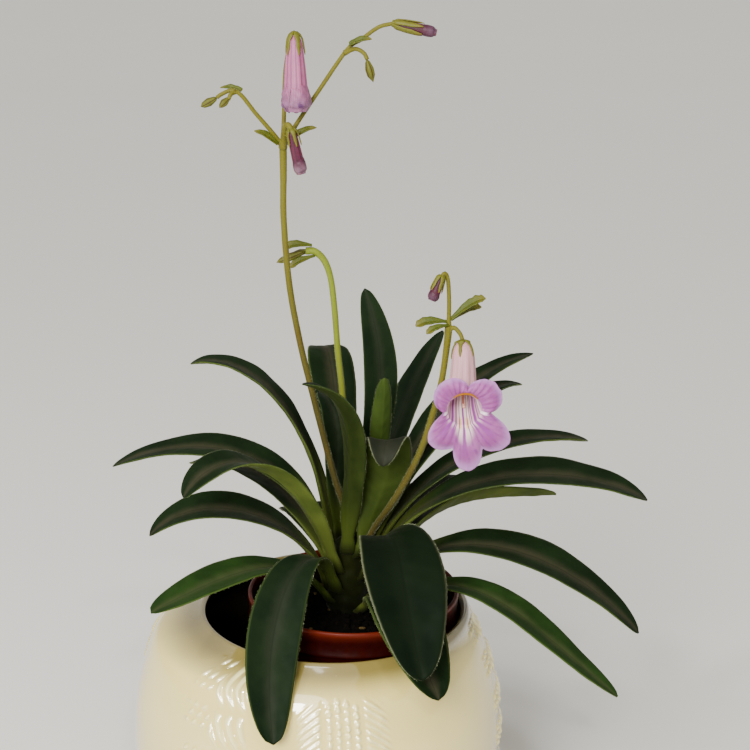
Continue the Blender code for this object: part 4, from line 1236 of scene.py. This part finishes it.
def folded_lobes(name, ring, radius_at, length, material, loose):
    """The five lobes of a closed corolla, each tucked under the next where they fold over its end. They come
    out of the tube without a step, and start and end at their own heights."""
    wall = Shell()
    random.seed(name)
    for k in range(LOBE_COUNT):
        middle = math.tau * (k + 0.15) / LOBE_COUNT
        first = 0.66 + 0.07 * random.random()
        last = 1.0 + 0.02 * loose * random.random()
        crimped = loose * random.uniform(0.7, 1.5)

        def place(u, v, middle=middle, k=k, first=first, last=last, crimped=crimped):
            across = (v - 0.5) * 2
            share = first + (last - first) * u - 0.05 * across * across * (1 - u)
            half = math.radians(44) * math.sqrt(max(1 - u**5, 0.0)) + math.radians(4)
            lifted = (0.10 + loose * (0.30 * (across + 1) / 2 + 0.35 * math.sin(math.pi * u))) * MM
            crimp = 0.45 * MM * crimped * bumps(u * 3.5, across * 2.2, k * 3.7)
            radius = radius_at(length * min(share, 1.0)) + (lifted + crimp) * smoothstep(u * 3.5)
            tucked = 1 - 0.35 * smoothstep((u - 0.7) / 0.3)
            return ring(length * min(share, last), max(radius * tucked, 0.25 * MM), middle + across * half)

        wall.add(*FOLDED_GRID, place, FOLDED_THICK)
    wall.attributes["along"] = [0.68 + 0.32 * u for u in wall.attributes["along"]]
    wall.make(f"{name}_folded_lobes", material)


def sepals(name, ring, length, radius_at, narrow=0.26):
    """Five sepals that hug what radius_at gives, joined in a small cup and then this share of it wide."""
    wall = Shell()
    for k in range(SEPAL_COUNT):
        middle = math.tau * (k + 0.5) / SEPAL_COUNT

        def place(u, v, middle=middle):
            across = (v - 0.5) * 2
            distance = -SEPAL_BASE + (length + SEPAL_BASE) * u
            gap = 0.10 * MM + SEPAL_THICK / 2
            wide = (radius_at(max(distance, 0.0) + 0.5 * MM * (1 - u)) + gap) * smoothstep(0.4 + u * 4)
            half = math.pi / SEPAL_COUNT * (narrow + (1.06 - narrow) * (1 - smoothstep(u * 2.3)))
            half *= min(1.0, 0.2 + 2.2 * (1 - u))
            keel = 0.12 * MM * (1 - abs(across))
            return ring(distance, max(wide, PEDICEL_RADIUS * 1.3) + keel, middle + across * half)

        wall.add(*SEPAL_GRID, place, SEPAL_THICK)
    wall.make(f"{name}_sepals", sepal_green, [name])


def lobe_reach(angle):
    """How far the face of the open flower reaches from the middle of its mouth at this angle, in metres."""
    turn = math.degrees(angle) % 360
    for first, (middle, tip), last in FACE_LOBES:
        here = turn if turn >= first[0] else turn + 360
        if first[0] <= here <= last[0]:
            angle_notch, notch, hollow = first if here < middle else last
            away = 1 - (here - angle_notch) / (middle - angle_notch)
            return (notch + (tip - notch) * max(1 - away**2, 0) ** hollow) * MM
    return MOUTH_RADIUS


def open_flower():
    """Corolla, calyx and pistil of the open flower: a tube that widens to a mouth with five spread lobes."""
    start = mm(45.2, -19.8, 178.6)
    mouth = mm(46.7, -31.5, 161.3)
    first = (mm(45.8, -22.6, 171) - start).normalized()
    facing = heading(271, -6)
    spine = (start, start + first * (9 * MM), mouth - facing * (7 * MM), mouth)
    tube_length = (mouth - start).length

    def ring_axes(share):
        along = first.lerp(facing, smoothstep(share)).normalized()
        side = (Vector((1, 0, 0)) - along * along.x).normalized()
        return side, along.cross(side).normalized()

    def middle_at(share):
        return bezier(spine, share) + Vector((THROAT_SHIFT * smoothstep(share * 1.3), 0, 0))

    def ring(distance, radius, angle):
        share = clamp(distance / tube_length)
        side, up = ring_axes(share)
        middle = middle_at(share) + first * min(distance, 0.0)
        return middle + around(side, up, angle) * radius

    def tube_radius(distance):
        return profile_radius(TUBE_PROFILE, distance / tube_length)

    def place(u, v):
        angle = math.tau * v
        flute = 0.12 * MM * math.cos(angle * 10)
        if u <= 0.5:
            distance = tube_length * u / 0.5
            return ring(distance, tube_radius(distance) + flute * smoothstep(u * 5), angle)
        share = (u - 0.5) / 0.5
        reach = lobe_reach(angle)
        crimp = 1 + 0.02 * bumps(math.cos(angle) * 7, math.sin(angle) * 7, 1)
        out = MOUTH_RADIUS + (reach * crimp - MOUTH_RADIUS) * share
        rounding = FACE_DISH * math.sin(math.pi * min(share, 0.6))
        ruffle = 0.45 * MM * bumps(math.cos(angle) * 3, math.sin(angle) * 3, share * 1.5)
        ribs = 0.10 * MM * math.cos(angle * 30) * math.sin(math.pi * share)
        back = -1.1 * MM * smoothstep((share - 0.55) / 0.45)
        lifted = facing * (rounding + ruffle * share + ribs + back)
        return ring(tube_length, out, angle) + lifted - Vector((THROAT_SHIFT * share, 0, 0))

    wall = Shell()
    wall.add(*FACE_GRID, place, PETAL_THICK, closed=True)
    wall.make("open_flower_petals", petal_open, ["open_flower_corolla"])
    sepals("open_flower_calyx", ring, OPEN_CALYX, tube_radius)
    line = through([middle_at(share) + PISTIL_LIFT for share in (0.12, 0.4, 0.7, 0.96)], 0.4 * MM)

    def pistil_radius(share):
        return PISTIL_RADIUS + (STIGMA_RADIUS - PISTIL_RADIUS) * smoothstep((share - 0.8) / 0.2)

    stem_piece("open_flower_style", line, pistil_radius, pistil_pale, ["open_flower_pistil"])
    roof = mouth + Vector((THROAT_SHIFT, 0, 0)) + facing * (1.7 * MM)
    arch = [roof + mm(x, 0, z) for x, z in ((-3.4, 4.6), (-1.6, 5.5), (0.5, 5.8), (2.3, 5.4), (3.9, 4.2))]
    stem_piece("open_flower_anthers", through(arch, 0.4 * MM),
               lambda share: ANTHER_RADIUS * (0.5 + 0.5 * math.sin(math.pi * share)), anther_orange, sides=12)
    stub = [roof + mm(x, 0, z) for x, z in ((-0.5, 5.3), (-0.5, 4.1), (-0.45, 2.8))]
    stem_piece("open_flower_filament", through(stub, 0.3 * MM),
               lambda share: ANTHER_RADIUS * (1 - 0.4 * share), filament_brown, sides=12)


cachepot()
nursery_pot()
potting_soil()
crown()

# Leaves that reach left, counted from the lowest to the highest
leaf("leaf_left_1", tip=(-49, -37, 98), root=88, lift=60, fall=14, width=16, roll=-4, blunt=0.3,
     material=leaf_young)
leaf("leaf_left_2", tip=(-52, -10, 112), root=92, lift=80, fall=44, width=18, reach=0.34, ease=0.46, roll=-8)
leaf("leaf_left_3", tip=(-39, -28, 132), root=98.5, lift=70, fall=52, width=17, swing=25, face=-135,
     reach=0.66, ease=0.42)
leaf("leaf_left_4", tip=(-67, 20, 124), root=97, lift=80, fall=28, width=15, swing=-12, reach=0.47,
     ease=0.5, roll=-10)
leaf("leaf_left_5", tip=(-40, 16, 160.6), root=101.5, lift=85, fall=20, width=14, swing=-15, face=178,
     reach=0.57, ease=0.3)

# Leaves that reach right
leaf("leaf_right_1", tip=(92, -49, 76), root=86, lift=34, fall=28, width=14, reach=0.53, ease=0.48,
     material=leaf_young)
leaf("leaf_right_2", tip=(101, -26, 86), root=89, lift=56, fall=46, width=18, ease=0.46, roll=8)
leaf("leaf_right_3", tip=(78, 13, 117), root=91, lift=60, fall=4, width=17, reach=0.52, ease=0.46, roll=-32)
leaf("leaf_right_4", tip=(105, -5, 122), root=94.5, lift=70, fall=29, width=18, reach=0.47, ease=0.3, roll=8)
leaf("leaf_right_5", tip=(89, 24, 131.5), root=97.5, lift=68, fall=16, width=14, reach=0.47, ease=0.3)
leaf("leaf_right_6", tip=(68, 39, 146), root=101, lift=66, fall=16, width=11, swing=-19, reach=0.4, ease=0.3)
leaf("leaf_right_7", tip=(72, 45, 155), root=103.8, lift=63, fall=-3, width=12, swing=-13)

# Leaves that hang over the front
leaf("leaf_front_1", tip=(-11, -62, 67), root=92, lift=70, fall=52, width=16.5, swing=-14, turn=36,
     reach=0.56, ease=0.64, blunt=0.55, material=leaf_inner_shaded)
leaf("leaf_front_2", tip=(38, -55, 78), root=85, lift=50, fall=32, width=21, swing=6, reach=0.53)
leaf("leaf_front_3", tip=(33, -60, 87), root=96, lift=68, fall=56, width=26, swing=28, turn=5, reach=0.66,
     ease=0.58, late=0.18, hairs=1.5, material=leaf_rimmed)

# Leaves that stand up in the middle
leaf("leaf_up_1", tip=(15.8, 7, 188), root=106, lift=76, fall=-72, width=10.6, swing=5, turn=125, face=88,
     blunt=0.4, material=leaf_inner_shaded)
leaf("leaf_up_2", tip=(42, 55, 160), root=102.5, lift=56, fall=-30, width=13.4, swing=-3, reach=0.38,
     roll=-15, material=leaf_inner_shaded)
leaf("leaf_up_3", tip=(-3, -18, 165), root=105, lift=84, fall=-14, width=13, swing=35, turn=-38, face=-145,
     ease=0.36, material=leaf_inner_shaded)
leaf("leaf_up_4", tip=(22, -6, 163), root=106.5, lift=79, fall=-86, width=6.8, swing=22, face=-70, blunt=0.9,
     keel=0.2, material=leaf_young)
leaf("leaf_up_5", tip=(23.2, -9, 140.2), root=103.6, lift=80, fall=-74, width=15, swing=-11, turn=-62,
     face=-88, hook=(18, 150), hairs=1.5, keel=0.4, material=leaf_folded)
leaf("leaf_up_6", tip=(1, 16, 151), root=106.3, lift=74, fall=-5, width=10, swing=7, material=leaf_inner_shaded)

# Leaves at the back
leaf("leaf_back_1", tip=(0, 62, 150), root=99, lift=73, fall=35, width=15, reach=0.62, fold=0.1)
leaf("leaf_back_2", tip=(-11, 42, 99), root=91, lift=55, fall=35, width=16)
leaf("leaf_back_3", tip=(30, 62, 92), root=90, lift=55, fall=35, width=17)
leaf("leaf_back_4", tip=(62, 50, 104), root=93, lift=60, fall=28, width=16)
leaf("leaf_back_5", tip=(-44, 44, 116), root=94, lift=66, fall=22, width=15)

# The tall stalk, with a closed flower, a fallen-forward bud and a cyme on each side
TALL_FORK = mm(-8.6, 0, 235.2)
TALL_INNER = TALL_FORK + mm(0, 0, -1.5)
stalk(
    "stalk_tall",
    trunk=[mm(10.3, -0.6, 108.9), mm(10.2, -1.4, 115.2), mm(6.5, -2.4, 127.6), mm(3.2, -2.6, 141.1),
           mm(-0.7, -2.4, 157.6), mm(-4.6, -1.8, 175.4), mm(-7.4, -1, 192.8), mm(-8.7, -0.4, 212),
           mm(-8.6, 0, 225), TALL_FORK],
    branches=[
        [TALL_INNER, mm(-8.3, 2.5, 243), mm(-7.8, 5, 256), mm(-6.1, 4.6, 265.0),
         mm(-5.1, 2.0, 267.6), mm(-4.7, -0.2, 267.9)],
        [TALL_INNER, mm(-7.9, -2.6, 239.6), mm(-6.8, -4.4, 241.4), mm(-6.0, -5.2, 240.4)],
        [TALL_INNER, mm(-5.6, 0.8, 239), mm(2.6, 2.5, 251), mm(10.7, 3, 262.5),
         mm(15, 3, 265.6), mm(20, 2.5, 269.2), mm(24.2, 2, 270.4)],
        [mm(10.0, 3, 261.6), mm(13.2, 1.4, 263.0), mm(15.6, 0.4, 262.0), mm(16.5, 0, 260.6)],
        [TALL_FORK + mm(0.2, 0, -1.5), mm(-11.5, -1.6, 238.4), mm(-16.5, -2.6, 244.6), mm(-20.6, -3, 250),
         mm(-23.5, -3, 251.4), mm(-26.4, -3.2, 250.3), mm(-27.3, -3.2, 249.7)],
        [mm(-22.6, -3, 251.0), mm(-23.6, -4.4, 250.4), mm(-24.0, -5, 249.6)],
    ],
    material=stalk_olive,
    stout=(1,),
)
bract("tall_bract_left", mm(-11.0, -2.2, 235.6), mm(-17.0, -2.6, 239.2), 3.0, roll=30)
bract("tall_bract_right", mm(-5.4, -0.6, 236.6), mm(1.6, -1.6, 240.0), 2.8, roll=-30)
bract("cyme_bract_right", mm(12.4, 1.1, 264.4), mm(18.0, -0.4, 266.0), 2.8, roll=-30)
bract("cyme_bract_left", mm(-21.4, -1.2, 251.2), mm(-27.0, 0.4, 251.6), 2.0, roll=30)

# Closed flower and buds
flower_bud("closed_flower", mm(-4.7, -1.0, 267.6), mm(-4.3, -3.4, 245.2),
           profile=((0, 0.9), (0.04, 1.8), (0.1, 2.2), (0.2, 2.5), (0.4, 3.0), (0.7, 3.5), (0.86, 3.8),
                    (0.95, 3.75), (1, 3.0)),
           calyx=6.0, material=petal_closed, ribs=7, rib_depth=0.04, loose=0.85, narrow=0.42)
flower_bud("low_bud", mm(-5.8, -5.4, 239.8), mm(-2.9, -6.2, 227.0),
           profile=((0, 1.0), (0.06, 1.45), (0.3, 1.6), (0.6, 1.7), (0.85, 1.75), (0.95, 1.65), (1, 1.25)),
           calyx=4.8, narrow=0.42, loose=0.12, material=bud_fading)
flower_bud("right_bud", mm(24.8, 2, 270.3), mm(37.2, 1, 267.8),
           profile=((0, 0.7), (0.06, 1.1), (0.3, 1.5), (0.6, 1.65), (0.88, 1.45), (1, 0.9)),
           calyx=8.6, narrow=0.72, loose=0.06, material=bud_maroon)
flower_bud("small_right_bud", mm(16.6, -0.2, 260.2), mm(18.5, -0.6, 253.4),
           profile=((0, 0), (0.1, 0.7), (0.4, 1.3), (0.7, 1.2), (1, 0)))
flower_bud("left_bud", mm(-27.7, -3.2, 249.3), mm(-32.6, -3.4, 246.6),
           profile=((0, 0), (0.1, 0.7), (0.5, 1.3), (0.85, 0.9), (1, 0)))
flower_bud("small_left_bud", mm(-24.0, -5.1, 249.6), mm(-26.9, -6.2, 246.8),
           profile=((0, 0), (0.12, 0.7), (0.5, 1.2), (0.85, 0.7), (1, 0)))

# The front stalk, with the open flower
FRONT_FORK = mm(41.1, -17.5, 183.2)
FRONT_INNER = FRONT_FORK + mm(0, 0, -1.5)
stalk(
    "stalk_front",
    trunk=[on_crown(-36, 99.4, STALK_RADIUS * 1.2), mm(16.2, -7.0, 107.3), mm(19.1, -10.7, 115.4),
           mm(23.5, -14.2, 123.6), mm(28.2, -15.6, 132.3), mm(33.1, -17.2, 143.6), mm(36.4, -17.6, 154.5),
           mm(39.1, -17.5, 165.6), mm(40.6, -17.5, 177), FRONT_FORK],
    branches=[
        [FRONT_INNER, mm(41.1, -17.1, 191.4), mm(40.7, -16.9, 197.4), mm(39.8, -17.3, 199.4),
         mm(39.0, -17.7, 198.8)],
        [FRONT_INNER, mm(42.6, -18.1, 182.8), mm(44.4, -18.9, 181.2), mm(45.1, -19.6, 179.6)],
    ],
    material=stalk_olive,
)
bract("front_bract_left", mm(39.6, -17.4, 184.2), mm(31.2, -18.4, 183.2), 3.8, teeth=2, roll=28)
bract("front_bract_right", mm(42.8, -15.3, 184.8), mm(51.0, -13.2, 187.8), 3.6, teeth=2, roll=-25)
bract("front_young_bud_left", mm(40.0, -18.9, 183.4), mm(34.4, -21, 181.6), 2.8, teeth=2, roll=25)
bract("front_young_bud_right", mm(42.6, -17.6, 185.6), mm(52.0, -17.6, 191.6), 4.0, teeth=3, roll=-28)
flower_bud("front_top_bud", mm(38.6, -17.9, 198.2), mm(35.9, -19.2, 191.5),
           profile=((0, 0.8), (0.1, 1.1), (0.35, 1.4), (0.6, 1.6), (0.82, 1.55), (1, 1.15)), calyx=4.4,
           material=bud_maroon, narrow=0.5, loose=0.05)
open_flower()

# The young stalk behind, bent over at its end
stalk(
    "stalk_young",
    trunk=[on_crown(89, 105, STALK_RADIUS * 1.2), mm(10.3, 8.6, 116), mm(9.9, 11, 128), mm(9.1, 11.6, 140),
           mm(8.5, 12, 152.7), mm(7.2, 12, 166), mm(6.4, 12, 178), mm(5.2, 12, 189.4), mm(3.2, 12, 195.6),
           mm(0.2, 12, 198.6), mm(-2.6, 12, 198.8)],
    branches=[],
    material=stalk_bright,
)
bract("young_bract_upper", mm(-1.6, 11.2, 200.6), mm(-9.4, 9.8, 200.0), 3.4, teeth=2, roll=30)
bract("young_bract_lower", mm(-0.6, 10.8, 197.0), mm(-7.6, 8.6, 194.0), 2.8, teeth=2, roll=30)
flower_bud("young_bud_first", mm(-3.0, 12, 198.6), mm(-11.8, 11.4, 195.2),
           profile=((0, 0), (0.1, 0.9), (0.5, 1.3), (0.85, 0.9), (1, 0)))
flower_bud("young_bud_second", mm(-2.0, 13.6, 198.4), mm(-7.0, 16.4, 196.6),
           profile=((0, 0), (0.12, 0.7), (0.5, 1.1), (0.85, 0.8), (1, 0)))

for kind, slot in (("leaf", "leaf_dark"), ("stalk", "stalk_olive")):
    points, faces = hair_faces[kind]
    add_piece(f"{kind}_hairs", points, faces, hair_pale, smooth=False)


# Floor, light and camera


def floor():
    mesh = bpy.data.meshes.new("floor")
    corners = [(x * FLOOR_HALF, y * FLOOR_HALF, 0) for x, y in ((-1, -1), (1, -1), (1, 1), (-1, 1))]
    mesh.from_pydata(corners, [], [(0, 1, 2, 3)])
    paint = Paint("floor", 0.7)
    paint.link("Base Color", paint.layers((0.74, 0.73, 0.70), (paint.cloud(3, 2), (0.78, 0.77, 0.74))))
    mesh.materials.append(paint.material)
    add_object("floor", mesh)


def area_light(name, azimuth, rise, power, size, colour):
    """A lamp in this direction from the object, turned to it."""
    light = bpy.data.lights.new(name, "AREA")
    light.energy = power
    light.size = size
    light.color = colour
    away = heading(azimuth, rise) * LAMP_DISTANCE
    add_object(name, light, LIGHT_AIM + away, (-away).to_track_quat("-Z", "Y").to_euler())


def studio():
    world = bpy.data.worlds.new("studio")
    world.use_nodes = True
    background = world.node_tree.nodes["Background"]
    background.inputs["Color"].default_value = (*WORLD_COLOUR, 1)
    background.inputs["Strength"].default_value = WORLD_STRENGTH
    bpy.context.scene.world = world
    sun = bpy.data.lights.new("window_light", "SUN")
    sun.energy = SUN_STRENGTH
    sun.angle = math.radians(SUN_SPREAD)
    sun.color = SUN_COLOUR
    add_object("window_light", sun, turn=heading(*SUN_FROM).to_track_quat("Z", "Y").to_euler())
    for lamp in LAMPS:
        area_light(*lamp)


def camera():
    data = bpy.data.cameras.new("camera")
    data.lens = LENS
    data.clip_start = 0.01
    place = CAMERA_AIM - heading(90, -CAMERA_PITCH) * CAMERA_DISTANCE
    bpy.context.scene.camera = add_object("camera", data, place, (math.radians(90 - CAMERA_PITCH), 0, 0))


floor()
studio()
camera()
